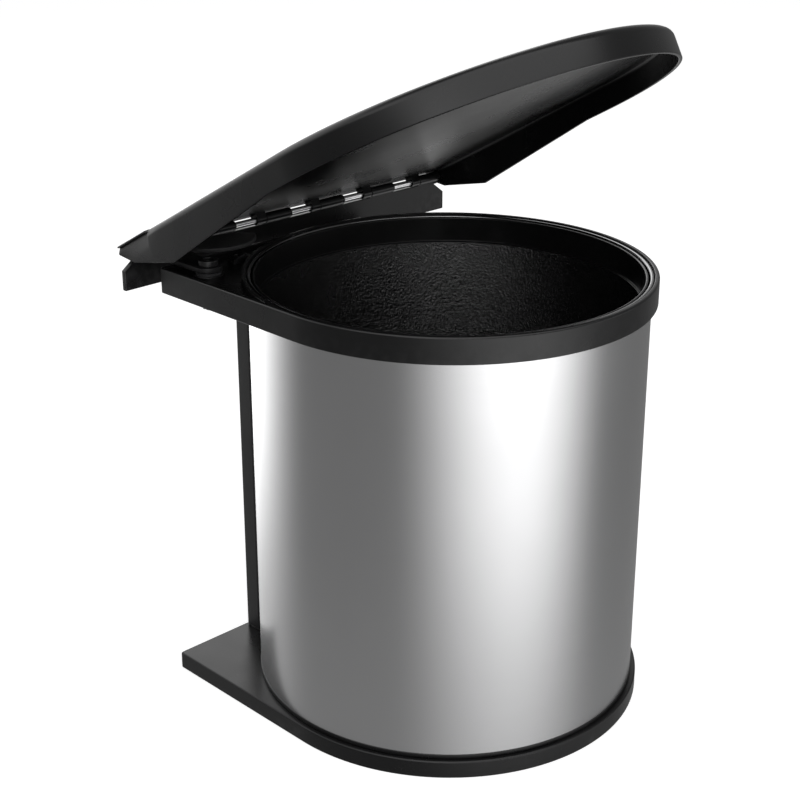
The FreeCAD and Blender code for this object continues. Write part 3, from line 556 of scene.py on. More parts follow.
def dress_node(node: str, finish: Coating) -> None:
    """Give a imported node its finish.

    Args:
        node: the node's name.
        finish: its finish.
    """
    mesh = frame["nodes"][node].data
    mesh.materials.clear()
    mesh.materials.append(finish.material())
    LOG.info("%s: packed shape in %s", node, finish.name)


class Wire:
    """A bmesh line drawn corner by corner, with arcs made by spinning its end."""

    def __init__(self, shape: Shape, start: Point) -> None:
        """Start a line.

        Args:
            shape: the bmesh to draw in.
            start: the first point.
        """
        self.shape = shape
        self.first = shape.verts.new(start)
        self.end = self.first
        self.edges: Edges = []

    def line(self, *points: Point) -> None:
        """Run straight to each point in turn.

        Args:
            points: the points.
        """
        for point in points:
            vert = self.shape.verts.new(point)
            self.edges.append(self.shape.edges.new((self.end, vert)))
            self.end = vert

    def arc(self, centre: Point, axis: Point, angle: float, steps: int) -> None:
        """Turn about a centre.

        Args:
            centre: the arc's centre.
            axis: the axis that it turns about.
            angle: how far it turns.
            steps: into how many edges it is divided.
        """
        known = set(self.shape.edges)
        made = bmesh.ops.spin(self.shape, geom=[self.end], cent=centre, axis=axis, angle=angle, steps=steps)
        self.edges += [edge for edge in self.shape.edges if edge not in known]
        self.end = next(item for item in made["geom_last"] if isinstance(item, bmesh.types.BMVert))

    def close(self) -> Edges:
        """Run back to the start.

        Returns:
            The loop's edges.
        """
        if (self.end.co - self.first.co).length < MERGE_DISTANCE:
            bmesh.ops.pointmerge(self.shape, verts=[self.first, self.end], merge_co=self.first.co)
            self.edges = [edge for edge in self.edges if edge.is_valid]
        else:
            self.edges.append(self.shape.edges.new((self.end, self.first)))
        return self.edges


def circle_loop(shape: Shape, centre: Point, radius: float, steps: int) -> Edges:
    """The edges of a new level circle."""
    made = bmesh.ops.create_circle(shape, segments=steps, radius=radius, matrix=Matrix.Translation(centre))
    return list({edge for vert in made["verts"] for edge in vert.link_edges})


def d_loop(shape: Shape, half: float, rear: float, level: float) -> Edges:
    """A level D: a half circle to the front, straight sides and a straight rear edge.

    Args:
        shape: the bmesh to draw in.
        half: half its width, which is the arc's radius too.
        rear: y of its rear edge.
        level: its height.

    Returns:
        Its edges.
    """
    wire = Wire(shape, (-half, 0.0, level))
    wire.arc((0.0, 0.0, level), Z_AXIS, HALF_TURN, ROUND_STEPS // 2)
    wire.line((half, rear, level), (-half, rear, level))
    return wire.close()


def pull(shape: Shape, edges: Edges) -> tuple[Verts, Edges]:
    """Draw a wall from a chain of edges, whose far side still lies on it.

    Args:
        shape: the bmesh.
        edges: the chain.

    Returns:
        The far side's vertices and edges.
    """
    made = bmesh.ops.extrude_edge_only(shape, edges=edges)["geom"]
    verts = [item for item in made if isinstance(item, bmesh.types.BMVert)]
    fresh = set(verts)
    return verts, [item for item in made if isinstance(item, bmesh.types.BMEdge) and set(item.verts) <= fresh]


def sink(shape: Shape, edges: Edges, drop: float) -> Edges:
    """Draw a wall down from a loop.

    Args:
        shape: the bmesh.
        edges: the loop.
        drop: how far down the wall goes, below zero for up.

    Returns:
        The wall's far loop.
    """
    verts, far = pull(shape, edges)
    bmesh.ops.translate(shape, verts=verts, vec=(0.0, 0.0, -drop))
    return far


def cap(shape: Shape, *loops: Edges) -> None:
    """Fill a level face, whose first loop is its outline and whose others are holes."""
    edges = [edge for loop in loops for edge in loop]
    bmesh.ops.triangle_fill(shape, edges=edges, use_beauty=True, normal=Z_AXIS)


def blind_hole(shape: Shape, place: Vector, radius: float, level: float, drop: float) -> Edges:
    """Draw a closed-ended round hole.

    Args:
        shape: the bmesh to draw in.
        place: a point on the hole's axis.
        radius: its radius.
        level: the height of its mouth.
        drop: how far down its end lies, below zero for up.

    Returns:
        The mouth's edges.
    """
    mouth = circle_loop(shape, (place.x, place.y, level), radius, SMALL_ROUND_STEPS)
    cap(shape, sink(shape, mouth, drop))
    return mouth


def stack(shape: Shape, *loops: Edges) -> None:
    """Join each loop to the next with a wall; all have the same number of edges."""
    for first, second in zip(loops, loops[1:]):
        bmesh.ops.bridge_loops(shape, edges=[*first, *second])


def quarter_steps(radius: float, segments: int) -> list[Span]:
    """Pairs of inset and drop along a rounded edge, from its upright side to its level side."""
    angles = [QUARTER_TURN * index / segments for index in range(segments + 1)]
    return [(radius * (1 - math.cos(angle)), radius * (1 - math.sin(angle))) for angle in angles]


def face_out(shape: Shape) -> None:
    """Merge doubles and turn every face outwards."""
    bmesh.ops.remove_doubles(shape, verts=shape.verts, dist=MERGE_DISTANCE)
    bmesh.ops.recalc_face_normals(shape, faces=shape.faces)


def round_off(shape: Shape, geometry: Verts | Edges, radius: float, segments: int = EDGE_SEGMENTS,
              affect: str = "EDGES") -> None:
    """Round edges, or a line's corners where affect is VERTICES."""
    bmesh.ops.bevel(shape, geom=geometry, offset=radius, offset_type="OFFSET", affect=affect,
                    segments=segments, profile=0.5, material=-1, clamp_overlap=False)


def sharp_edges(shape: Shape, angle: float = SHARP_ANGLE) -> Edges:
    """The edges at which two faces meet more sharply than an angle."""
    return [edge for edge in shape.edges if len(edge.link_faces) == 2 and edge.calc_face_angle(0.0) > angle]


@dataclass(frozen=True)
class Corner:
    """A corner of a turned section: radius, height and rounding."""

    radius: float
    height: float
    rounding: float = 0.0


def turn_section(corners: Sequence[Corner], steps: int = ROUND_STEPS) -> Shape:
    """Turn a section about the Z axis.

    Args:
        corners: the section's corners in order; one that starts and ends on the axis stays open there.
        steps: how many faces go round.

    Returns:
        The turned shape.
    """
    shape = bmesh.new()
    wire = Wire(shape, (corners[0].radius, 0.0, corners[0].height))
    verts = [wire.first]
    for corner in corners[1:]:
        wire.line((corner.radius, 0.0, corner.height))
        verts.append(wire.end)
    if corners[0].radius > 0.0 or corners[-1].radius > 0.0:
        wire.close()
    for vert, corner in zip(verts, corners):
        if corner.rounding > 0.0:
            round_off(shape, [vert], corner.rounding, affect="VERTICES")
    turn_wire(shape, steps)
    return shape


def turn_wire(shape: Shape, steps: int) -> None:
    """Spin everything drawn so far into a closed turned shape.

    Args:
        shape: the bmesh, which holds the section.
        steps: how many faces go round.
    """
    bmesh.ops.spin(shape, geom=shape.verts[:] + shape.edges[:], cent=(0.0, 0.0, 0.0), axis=Z_AXIS,
                   angle=FULL_TURN, steps=steps, use_merge=True)
    face_out(shape)


def move(shape: Shape, matrix: Matrix) -> None:
    """Move a whole shape by a matrix."""
    bmesh.ops.transform(shape, matrix=matrix, verts=shape.verts)


def join_shapes(*shapes: Shape) -> Shape:
    """Put several shapes in one.

    Args:
        shapes: the shapes, which are used up.

    Returns:
        One shape that holds them all.
    """
    whole = bmesh.new()
    for shape in shapes:
        carrier = bpy.data.meshes.new("carrier")
        shape.to_mesh(carrier)
        shape.free()
        whole.from_mesh(carrier)
        bpy.data.meshes.remove(carrier)
    return whole


def softened(node: str, radius: float, segments: int = EDGE_SEGMENTS) -> Shape:
    """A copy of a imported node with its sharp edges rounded.

    Args:
        node: the node's name.
        radius: the rounding's radius.
        segments: how many faces the rounding has.

    Returns:
        The rounded copy.
    """
    shape = bmesh.new()
    shape.from_mesh(frame["nodes"][node].data)
    bmesh.ops.remove_doubles(shape, verts=shape.verts, dist=MERGE_DISTANCE)
    bmesh.ops.dissolve_limit(shape, angle_limit=FLAT_ANGLE, verts=shape.verts, edges=shape.edges)
    round_off(shape, sharp_edges(shape), radius, segments)
    return shape


@dataclass
class BaseAssembly:
    """Base plate, foot ring and their screws."""

    top_round: float = 0.0010
    corner_round: float = 0.0015
    foot_round: float = 0.0006
    lip_width: float = 0.0090
    can_wall: float = 0.0008
    lip_gap: float = 0.0002
    hollow_gap: float = 0.0120
    hollow_depth: float = 0.0060
    pad_radius: float = 0.0300
    screw_hole: float = 0.0040
    hole_depth: float = 0.0030
    foot_screws: int = 4
    first_screw_share: float = 0.5

    @property
    def lip(self) -> float:
        """Radius of the foot ring's lip, inside the can."""
        return NodeBox.of("foot_ring").high.x - 2 * self.can_wall - self.lip_gap

    @property
    def screw_circle(self) -> float:
        """Radius of the circle that the foot ring's screws stand on."""
        return self.lip - self.lip_width / 2

    def screw_places(self) -> list[Vector]:
        """Axes of the screws that come up through the plate: under the uprights and round the foot ring.

        Returns:
            A point on each axis.
        """
        places = [NodeBox.of(f"upright_{side}").middle for side in ("left", "right")]
        for index in range(self.foot_screws):
            turn = FULL_TURN * (index + self.first_screw_share) / self.foot_screws
            places.append(self.screw_circle * Vector((math.cos(turn), math.sin(turn), 0.0)))
        return places

    def build_plate(self) -> None:
        """The D-shaped plate: rounded top edge, hollow underside with a middle pad, sunk screw holes."""
        box = NodeBox.of("base_plate")
        shape = bmesh.new()
        top = d_loop(shape, box.high.x, box.high.y, box.high.z)
        cap(shape, top)
        foot = sink(shape, top, box.size.z)
        mouth = circle_loop(shape, (0.0, 0.0, box.low.z), self.screw_circle - self.hollow_gap, ROUND_STEPS)
        pad = circle_loop(shape, (0.0, 0.0, box.low.z), self.pad_radius, ROUND_STEPS)
        holes = [blind_hole(shape, place, self.screw_hole, box.low.z, -self.hole_depth)
                 for place in self.screw_places()]
        cap(shape, foot, mouth, *holes)
        cap(shape, sink(shape, mouth, -self.hollow_depth), sink(shape, pad, -self.hollow_depth))
        cap(shape, pad)
        face_out(shape)
        upright = [edge for edge in sharp_edges(shape)
                   if abs(edge.verts[0].co.z - edge.verts[1].co.z) > self.top_round]
        round_off(shape, upright, self.corner_round, CROWN_SEGMENTS)
        upper = [edge for edge in sharp_edges(shape)
                 if min(vert.co.z for vert in edge.verts) > box.high.z - self.top_round]
        round_off(shape, upper, self.top_round, CROWN_SEGMENTS)
        lower = [edge for edge in sharp_edges(shape)
                 if max(vert.co.z for vert in edge.verts) < box.low.z + self.foot_round]
        round_off(shape, lower, self.foot_round)
        make_piece("base_plate_shell", shape, Body.FRAME, [Finish.FRAME], "base_plate")

    def build_foot_ring(self) -> None:
        """The ring that the can stands on."""
        box = NodeBox.of("foot_ring")
        can_bottom = NodeBox.of("steel_can").low.z
        shape = turn_section([
            Corner(self.lip - self.lip_width, box.low.z),
            Corner(box.high.x, box.low.z, self.foot_round),
            Corner(box.high.x, can_bottom, self.foot_round),
            Corner(self.lip, can_bottom),
            Corner(self.lip, box.high.z, self.foot_round),
            Corner(self.lip - self.lip_width, box.high.z, self.foot_round),
        ])
        make_piece("foot_ring_moulding", shape, Body.FRAME, [Finish.FRAME], "foot_ring")

    def build(self) -> None:
        """Build and dress every piece."""
        self.build_plate()
        self.build_foot_ring()
        dress_node("foot_ring_screws", Finish.PLATED)


@dataclass
class CanAssembly:
    """Steel can with its rolled rim, and the bucket inside it."""

    wall: float = 0.0008
    bead_radius: float = 0.0014
    bead_proud: float = 0.0008
    bead_steps: int = 14
    bucket_wall: float = 0.0018
    collar_height: float = 0.0164
    collar_step: float = 0.0020
    lip_rise: float = 0.0011
    bucket_foot_gap: float = 0.0172
    lip_round: float = 0.0008
    ledge_round: float = 0.0007
    foot_round: float = 0.0060

    def build_can(self) -> None:
        """The sheet sleeve with its rolled rim, whose faces have their own polish and a darker colour that
        paints shade onto them.
        """
        box = NodeBox.of("steel_can")
        radius = box.high.x - self.bead_proud
        inner = radius - self.wall
        bead = Vector((box.high.x - self.bead_radius, 0.0, box.high.z - self.bead_radius))
        outer_turn = math.acos((radius - bead.x) / self.bead_radius)
        inner_turn = math.acos((bead.x - inner) / self.bead_radius)
        outer_z = bead.z - self.bead_radius * math.sin(outer_turn)
        shape = bmesh.new()
        wire = Wire(shape, (inner, 0.0, box.low.z))
        wire.line((radius, 0.0, box.low.z), (radius, 0.0, outer_z))
        wire.arc(bead, Y_AXIS, -(outer_turn + HALF_TURN + inner_turn), self.bead_steps)
        wire.close()
        turn_wire(shape, ROUND_STEPS)
        for face in shape.faces:
            face.material_index = int(face.calc_center_median().z > outer_z)
        make_piece("steel_can_sleeve", shape, Body.FRAME, [Finish.CAN, Finish.RIM],
                   "steel_can")

    def build_bucket(self) -> None:
        """The tapered bucket: a smooth collar over a pebbled inside."""
        box = NodeBox.of("inner_bucket")
        can = NodeBox.of("steel_can")
        collar = box.high.x
        lip = box.high.z + self.lip_rise
        ledge = box.high.z - self.collar_height
        shoulder = collar - self.collar_step
        foot = can.high.x - self.bead_proud - self.wall - self.bucket_foot_gap
        shape = turn_section([
            Corner(0.0, box.low.z),
            Corner(foot, box.low.z, self.foot_round),
            Corner(shoulder, ledge - self.bucket_wall, self.ledge_round),
            Corner(collar, ledge - self.bucket_wall, self.ledge_round),
            Corner(collar, lip, self.lip_round),
            Corner(collar - self.bucket_wall, lip, self.lip_round),
            Corner(collar - self.bucket_wall, ledge, self.ledge_round),
            Corner(shoulder - self.bucket_wall, ledge, self.ledge_round),
            Corner(foot - self.bucket_wall, box.low.z + self.bucket_wall, self.foot_round),
            Corner(0.0, box.low.z + self.bucket_wall),
        ])
        for face in shape.faces:
            face.material_index = int(face.calc_center_median().z < ledge - self.ledge_round)
        make_piece("inner_bucket_shell", shape, Body.FRAME,
                   [Finish.COLLAR, Finish.TEXTURED], "inner_bucket")

    def build(self) -> None:
        """Build and dress every piece."""
        self.build_can()
        self.build_bucket()


@dataclass
class TopRingAssembly:
    """Top ring with its deck, the uprights that carry it, the cam on it and the pivot's bush."""

    wall: float = 0.0030
    rear: float = 0.1305
    outer_round: float = 0.0015
    inner_round: float = 0.0006
    corner_round: float = 0.0020
    corner_steps: int = 6
    foot_round: float = 0.0004
    deck_recess: float = 0.0040
    boss_radius: float = 0.0100
    boss_drop: float = 0.0010
    bush_hole: float = 0.0057
    screw_hole: float = 0.0040
    hole_depth: float = 0.0030
    lug_height: float = 0.0070
    lug_margin: float = 0.0020
    lug_overlap: float = 0.0010
    lug_steps: int = 8
    edge_round: float = 0.0005
    tube_round: float = 0.0015
    tube_segments: int = 4

    def outline(self, shape: Shape, inset: float, level: float) -> Edges:
        """The ring's outline: a circle with a square rear left corner.

        Args:
            shape: the bmesh to draw in.
            inset: how far inside the ring's side it lies.
            level: its height.

        Returns:
            Its edges.
        """
        radius = NodeBox.of("top_ring").high.x - inset
        rear = self.rear - inset
        meet = HALF_TURN + math.acos(math.sqrt(radius ** 2 - rear ** 2) / radius)
        corner = self.corner_round - inset
        wire = Wire(shape, (-radius, 0.0, level))
        wire.arc((0.0, 0.0, level), Z_AXIS, FULL_TURN + HALF_TURN - meet, ROUND_STEPS)
        wire.line((corner - radius, rear, level))
        wire.arc((corner - radius, rear - corner, level), Z_AXIS, QUARTER_TURN, self.corner_steps)
        return wire.close()

    def pocket(self, shape: Shape, grow: float, level: float) -> Edges:
        """The outline of the sunk deck.

        Args:
            shape: the bmesh to draw in.
            grow: how far outside the deck's wall it lies.
            level: its height.

        Returns:
            Its edges.
        """
        outer = NodeBox.of("top_ring").high.x
        radius = outer - grow
        side = outer - self.wall + grow
        rear = self.rear - self.wall + grow
        side_y = math.sqrt(radius ** 2 - side ** 2)
        rear_x = math.sqrt(radius ** 2 - rear ** 2)
        angle = math.atan2(rear, rear_x) - math.atan2(side_y, side)
        wire = Wire(shape, (-rear_x, rear, level))
        wire.arc((0.0, 0.0, level), Z_AXIS, angle, ROUND_STEPS // 4)
        wire.line((-side, rear, level))
        return wire.close()

    def build_boss(self, shape: Shape, floor: float, top: float) -> Edges:
        """The boss under the pivot bush.

        Args:
            shape: the bmesh to draw in.
            floor: the deck's height.
            top: the boss's top.

        Returns:
            The edges where it meets the deck.
        """
        x, y, _ = NodeBox.of("pivot_bush").middle
        foot = circle_loop(shape, (x, y, floor), self.boss_radius, SMALL_ROUND_STEPS)
        crown = [circle_loop(shape, (x, y, top - drop), self.boss_radius - inset, SMALL_ROUND_STEPS)
                 for inset, drop in quarter_steps(self.inner_round, EDGE_SEGMENTS)]
        stack(shape, foot, *crown)
        cap(shape, crown[-1])
        return foot

    def build_ring(self) -> None:
        """The ring: rounded band, sunk deck with its boss, and holes for bush and screws."""
        box = NodeBox.of("top_ring")
        bush = NodeBox.of("pivot_bush").middle
        cam = NodeBox.of("cam_screw")
        bore = box.high.x - self.wall
        floor = box.high.z - self.deck_recess
        inner = quarter_steps(self.inner_round, EDGE_SEGMENTS)
        shape = bmesh.new()
        foot = self.outline(shape, self.foot_round, box.low.z)
        side = self.outline(shape, 0.0, box.low.z + self.foot_round)
        crown = [self.outline(shape, inset, box.high.z - drop)
                 for inset, drop in quarter_steps(self.outer_round, CROWN_SEGMENTS)]
        stack(shape, foot, side, *crown)
        bore_foot = circle_loop(shape, (0.0, 0.0, box.low.z), bore, ROUND_STEPS)
        bore_crown = [circle_loop(shape, (0.0, 0.0, box.high.z - drop), bore + inset, ROUND_STEPS)
                      for inset, drop in inner]
        stack(shape, bore_foot, *bore_crown)
        deck = self.pocket(shape, 0.0, floor)
        deck_crown = [self.pocket(shape, inset, box.high.z - drop) for inset, drop in inner]
        stack(shape, deck, *deck_crown)
        cap(shape, crown[-1], bore_crown[-1], deck_crown[-1])
        boss = self.build_boss(shape, floor, box.high.z - self.boss_drop)
        upright = NodeBox.of("upright_left").middle
        cap(shape, deck, boss, blind_hole(shape, upright, self.screw_hole, floor, self.hole_depth))
        cam_drop = box.low.z - cam.low.z - self.hole_depth
        cap(shape, foot, bore_foot, blind_hole(shape, bush, self.bush_hole, box.low.z, -self.hole_depth),
            blind_hole(shape, cam.middle, self.screw_hole, box.low.z, cam_drop))
        face_out(shape)
        make_piece("top_ring_moulding", join_shapes(shape, self.build_lug(box)), Body.FRAME,
                   [Finish.FRAME], "top_ring")

    def build_lug(self, box: NodeBox) -> Shape:
        """The low lug over the right upright, its front sunk in the band.

        Args:
            box: the ring's box.

        Returns:
            The lug's shape.
        """
        tube = NodeBox.of("upright_right")
        left = tube.low.x - self.lug_margin
        right = tube.high.x + self.lug_margin
        reach = box.high.x - self.lug_overlap
        top = box.low.z + self.lug_height
        shape = bmesh.new()
        wire = Wire(shape, (right, math.sqrt(reach ** 2 - right ** 2), top))
        wire.arc((0.0, 0.0, top), Z_AXIS, math.acos(left / reach) - math.acos(right / reach), self.lug_steps)
        wire.line((left, self.rear, top), (right, self.rear, top))
        upper = wire.close()
        cap(shape, upper, blind_hole(shape, tube.middle, self.screw_hole, top, self.hole_depth))
        cap(shape, sink(shape, upper, self.lug_height))
        face_out(shape)
        return shape

    def build_uprights(self) -> None:
        """The two square tubes."""
        for node in ("upright_left", "upright_right"):
            shape = softened(node, self.tube_round, self.tube_segments)
            make_piece(f"{node}_tube", shape, Body.FRAME, [Finish.PAINT], node)

    def build(self) -> None:
        """Build and dress every piece."""
        self.build_ring()
        self.build_uprights()
        make_piece("lift_cam_block", softened("lift_cam", self.edge_round), Body.FRAME,
                   [Finish.FRAME], "lift_cam")
        dress_node("tube_plugs", Finish.FRAME)
        dress_node("upright_screws", Finish.PLATED)
        dress_node("cam_screw", Finish.PLATED)
        dress_node("pivot_bush", Finish.NYLON)


@dataclass
class WallBracket:
    """Wall strip with its hinge sleeves, the pivot arm and bolt, and the hinge pin."""

    strip_round: float = 0.0006
    arm_round: float = 0.0005
    pin_round: float = 0.0004

    def build_pin(self) -> None:
        """The bright hinge pin, its ends rounded."""
        box = NodeBox.of("hinge_pin")
        radius = box.size.z / 2
        shape = turn_section([
            Corner(0.0, box.low.x),
            Corner(radius, box.low.x, self.pin_round),
            Corner(radius, box.high.x, self.pin_round),
            Corner(0.0, box.high.x),
        ], SMALL_ROUND_STEPS)
        place = Matrix.Translation((0.0, box.middle.y, box.middle.z))
        move(shape, place @ Matrix.Rotation(QUARTER_TURN, 4, "Y"))
        make_piece("hinge_pin_rod", shape, Body.BRACKET, [Finish.PIN], "hinge_pin")

    def build(self) -> None:
        """Build and dress every piece."""
        make_piece("wall_strip_moulding", softened("wall_strip", self.strip_round), Body.BRACKET,
                   [Finish.FRAME], "wall_strip")
        make_piece("pivot_arm_plate", softened("pivot_arm", self.arm_round), Body.BRACKET,
                   [Finish.PAINT], "pivot_arm")
        make_piece("pivot_bolt_turned", softened("pivot_bolt", self.arm_round), Body.BRACKET,
                   [Finish.OXIDE], "pivot_bolt")
        self.build_pin()
        for node in ("arm_screws", "pivot_washer", "pivot_nut"):
            dress_node(node, Finish.PLATED)


@dataclass
class LidAssembly:
    """Lid shell on its hinge eyes, and the flap that lifts it.

    The shell is drawn about the hinge axis with the lid level, then turned open.
    """

    flap_round: float = 0.0008
    reach: float = 0.3182
    top: float = 0.0065
    wall: float = 0.0025
    skirt: float = 0.0188
    lip: float = 0.0110
    plate_lip: float = 0.0075
    cheek_tail: float = 0.0005
    cheek_end: Span = (-0.0030, -0.0090)
    cheek_low: Span = (-0.0440, -0.0207)
    cheek_start: float = -0.1550
    top_round: float = 0.0050
    top_segments: int = 6
    fillet_segments: int = 4
    rim_round: float = 0.0006
    arc_steps: int = 128
    facet_start: float = -0.0270
    facet_run: float = 0.0030
    facet_foot: float = 0.0125
    facet_depth: float = 0.0021
    facet_drop: float = 0.0014
    facet_shares: tuple[float, ...] = (1.0, 0.7, 0.35, 0.0)
    facet_lip_inset: float = 0.0009
    facet_lip_round: float = 0.0004
    facet_lip_depth: float = 0.0012
    eye_width: float = 0.0080
    eye_radius: float = 0.0035
    eye_bore: float = 0.00205
    eye_round: float = 0.0004
    eye_segments: int = 2
    eye_corner: float = math.radians(60)
    eye_spots: int = 5
    eye_flap_gap: float = 0.0050
    eye_end_inset: float = 0.0250
    flap_eye_width: float = 0.0130

    @property
    def half(self) -> float:
        """Half the lid's width."""
        return NodeBox.of("lid_shell").high.x

    @property
    def arc_y(self) -> float:
        """The front arc's centre, measured from the hinge."""
        return self.half - self.reach

    @property
    def under(self) -> float:
        """Height of the plate's underside."""
        return self.top - self.wall

    def opened(self) -> Matrix:
        """The lid's place when it is open.

        Returns:
            The matrix from the level lid at the hinge axis to the open lid.
        """
        pin = NodeBox.of("hinge_pin").middle
        joints = frame["record"]["behaviour"]["joints"]
        hinge = next(joint for joint in joints if joint["name"] == "lid_hinge")
        angle = math.radians(hinge["range_deg"][0])
        return Matrix.Translation((0.0, pin.y, pin.z)) @ Matrix.Rotation(angle, 4, "X")

    def lower_edge(self, y: float) -> float:
        """Height of the skirt's lower edge, which drops to a low corner on the cheeks.

        Args:
            y: place along the lid, from the hinge.

        Returns:
            The height.
        """
        level = self.top - self.skirt
        spots = [(-self.reach, level), (self.cheek_start, level), self.cheek_low, self.cheek_end,
                 (self.lip, self.cheek_tail)]
        for (first_y, first_z), (last_y, last_z) in zip(spots, spots[1:]):
            if y <= last_y:
                return first_z + (last_z - first_z) * (y - first_y) / (last_y - first_y)
        return self.cheek_tail

    def rail(self, shape: Shape) -> Edges:
        """The lid's outline, open at the rear: one cheek, the front arc and the other cheek.

        Args:
            shape: the bmesh to draw in.

        Returns:
            Its edges.
        """
        spots = [self.lip, self.plate_lip, self.cheek_end[0], self.facet_start + self.facet_run,
                 self.facet_start, self.cheek_low[0], self.cheek_start, self.arc_y]
        wire = Wire(shape, (-self.half, spots[0], 0.0))
        wire.line(*[(-self.half, y, 0.0) for y in spots[1:]])
        wire.arc((0.0, self.arc_y, 0.0), Z_AXIS, HALF_TURN, self.arc_steps)
        wire.line(*[(self.half, y, 0.0) for y in reversed(spots[:-1])])
        return wire.edges

    def rows(self, y: float) -> list[Span]:
        """Inset and height of the shell's skin at one place, from the top, round the rim, to the underside.

        Args:
            y: place along the lid, from the hinge.

        Returns:
            Pairs of inset from the lid's side and height.
        """
        lower = self.lower_edge(y)
        foot = max(self.top - self.facet_foot, lower + 2 * self.rim_round)
        if y > self.facet_start + self.facet_run / 2:
            outer = self.facet(foot)
        else:
            crown = reversed(quarter_steps(self.top_round, self.top_segments))
            outer = [(inset, self.top - drop) for inset, drop in crown]
            outer.append((0.0, foot))
        rim = quarter_steps(self.rim_round, EDGE_SEGMENTS)
        outer += [(inset, lower + drop) for inset, drop in rim]
        inner = [(self.wall - inset, lower + drop) for inset, drop in reversed(rim)]
        fillet = quarter_steps(self.top_round - self.wall, self.fillet_segments)
        return outer + inner + [(self.wall + inset, self.under - drop) for inset, drop in fillet]

    def facet(self, foot: float) -> list[Span]:
        """Skin of the pressed facet at a cheek's rear end: a thin lip over a slope that runs out downwards.

        Args:
            foot: height at which the slope meets the cheek's side.

        Returns:
            Pairs of inset and height, as many as the plain crown and the row under it have.
        """
        lip = [(self.top_round, self.top), (self.facet_lip_inset, self.top),
               (self.facet_lip_round, self.top - self.facet_lip_round),
               (self.facet_lip_round, self.top - self.facet_lip_depth)]
        rise = self.top - self.facet_drop - foot
        return lip + [(self.facet_depth * share, foot + rise * share) for share in self.facet_shares]

    def build_shell(self) -> None:
        """The shell: one skin from the top round the rim to the underside, closed at the rear."""
        shape = bmesh.new()
        chains = [self.rail(shape)]
        points = {vert: vert.co.copy() for edge in chains[0] for vert in edge.verts}
        self.shift(points, 0)
        for index in range(1, len(self.rows(0.0))):
            verts, chain = pull(shape, chains[-1])
            points = {vert: self.point_of(vert, points) for vert in verts}
            self.shift(points, index)
            chains.append(chain)
        self.close_rear(shape, chains)
        face_out(shape)
        move(shape, self.opened())
        make_piece("lid_moulding", shape, Body.LID, [Finish.LID], "lid_shell")

    def point_of(self, vert: bmesh.types.BMVert, earlier: dict[bmesh.types.BMVert, Vector]) -> Vector:
        """The outline point of a new vertex, from the vertex of the row before that it is drawn from."""
        near = [edge.other_vert(vert) for edge in vert.link_edges]
        return next(earlier[other] for other in near if other in earlier)

    def shift(self, points: dict[bmesh.types.BMVert, Vector], index: int) -> None:
        """Move a row of vertices from the outline to its inset and height.

        Args:
            points: the row's vertices and their points on the outline.
            index: the row's number.
        """
        for vert, point in points.items():
            inset, height = self.rows(point.y)[index]
            share = 1 - inset / self.half
            y = point.y if point.y >= self.arc_y else self.arc_y + (point.y - self.arc_y) * share
            vert.co = (point.x * share, y, height)

    def close_rear(self, shape: Shape, chains: Sequence[Edges]) -> None:
        """Fill the plate's top and underside, its rear edge and the cheeks' ends.

        Args:
            shape: the bmesh.
            chains: the skin's rows in order.
        """
        corners = []
        for chain in (chains[0], chains[-1]):
            row = sorted({vert for edge in chain for vert in edge.verts}, key=lambda vert: vert.co.x)
            left, right = [vert for vert in row if abs(vert.co.y - self.plate_lip) < MERGE_DISTANCE]
            ends = [vert for vert in row if abs(vert.co.y - self.lip) < MERGE_DISTANCE]
            front = self.plate_lip + MERGE_DISTANCE
            plate = [edge for edge in chain if max(vert.co.y for vert in edge.verts) < front]
            bmesh.ops.contextual_create(shape, geom=[*plate, shape.edges.new((left, right))])
            corners.append((left, right, *ends))
        for pair in zip(*corners):
            shape.edges.new(pair)
        open_edges = [edge for edge in shape.edges if len(edge.link_faces) < 2]
        bmesh.ops.edgenet_fill(shape, edges=open_edges)

    def eye_places(self) -> list[float]:
        """X of the middles of the lid's hinge eyes.

        Returns:
            The places, from left to right.
        """
        first = NodeBox.of("lift_flap").low.x + self.flap_eye_width + self.eye_flap_gap + self.eye_width / 2
        last = NodeBox.of("hinge_pin").high.x - self.eye_end_inset
        return [first + (last - first) * index / (self.eye_spots - 1) for index in range(self.eye_spots)]

    def eye(self) -> Shape:
        """One hinge eye, standing on its side.

        Returns:
            Its shape.
        """
        shape = bmesh.new()
        wire = Wire(shape, (-self.eye_radius, self.under, 0.0))
        wire.line((-self.eye_radius, 0.0, 0.0))
        wire.arc((0.0, 0.0, 0.0), Z_AXIS, HALF_TURN, SMALL_ROUND_STEPS // 2)
        wire.line((self.eye_radius, self.under, 0.0))
        side = wire.close()
        bore = circle_loop(shape, (0.0, 0.0, 0.0), self.eye_bore, SMALL_ROUND_STEPS)
        cap(shape, side, bore)
        cap(shape, sink(shape, side, self.eye_width), sink(shape, bore, self.eye_width))
        face_out(shape)
        rounded = [edge for edge in sharp_edges(shape, self.eye_corner)
                   if min(vert.co.xy.length for vert in edge.verts) > self.eye_radius - self.eye_round
                   and abs(edge.verts[0].co.z - edge.verts[1].co.z) < MERGE_DISTANCE
                   and max(vert.co.y for vert in edge.verts) < self.under - MERGE_DISTANCE]
        round_off(shape, rounded, self.eye_round, self.eye_segments)
        return shape

    def build_eyes(self) -> None:
        """The hinge eyes under the plate's rear edge."""
        upright = Matrix(((0, 0, 1, 0), (1, 0, 0, 0), (0, 1, 0, 0), (0, 0, 0, 1)))
        eyes = []
        for place in self.eye_places():
            eyes.append(self.eye())
            move(eyes[-1], Matrix.Translation((place + self.eye_width / 2, 0.0, 0.0)) @ upright)
        whole = join_shapes(*eyes)
        move(whole, self.opened())
        make_piece("lid_hinge_eyes", whole, Body.LID, [Finish.LID], "lid_shell")

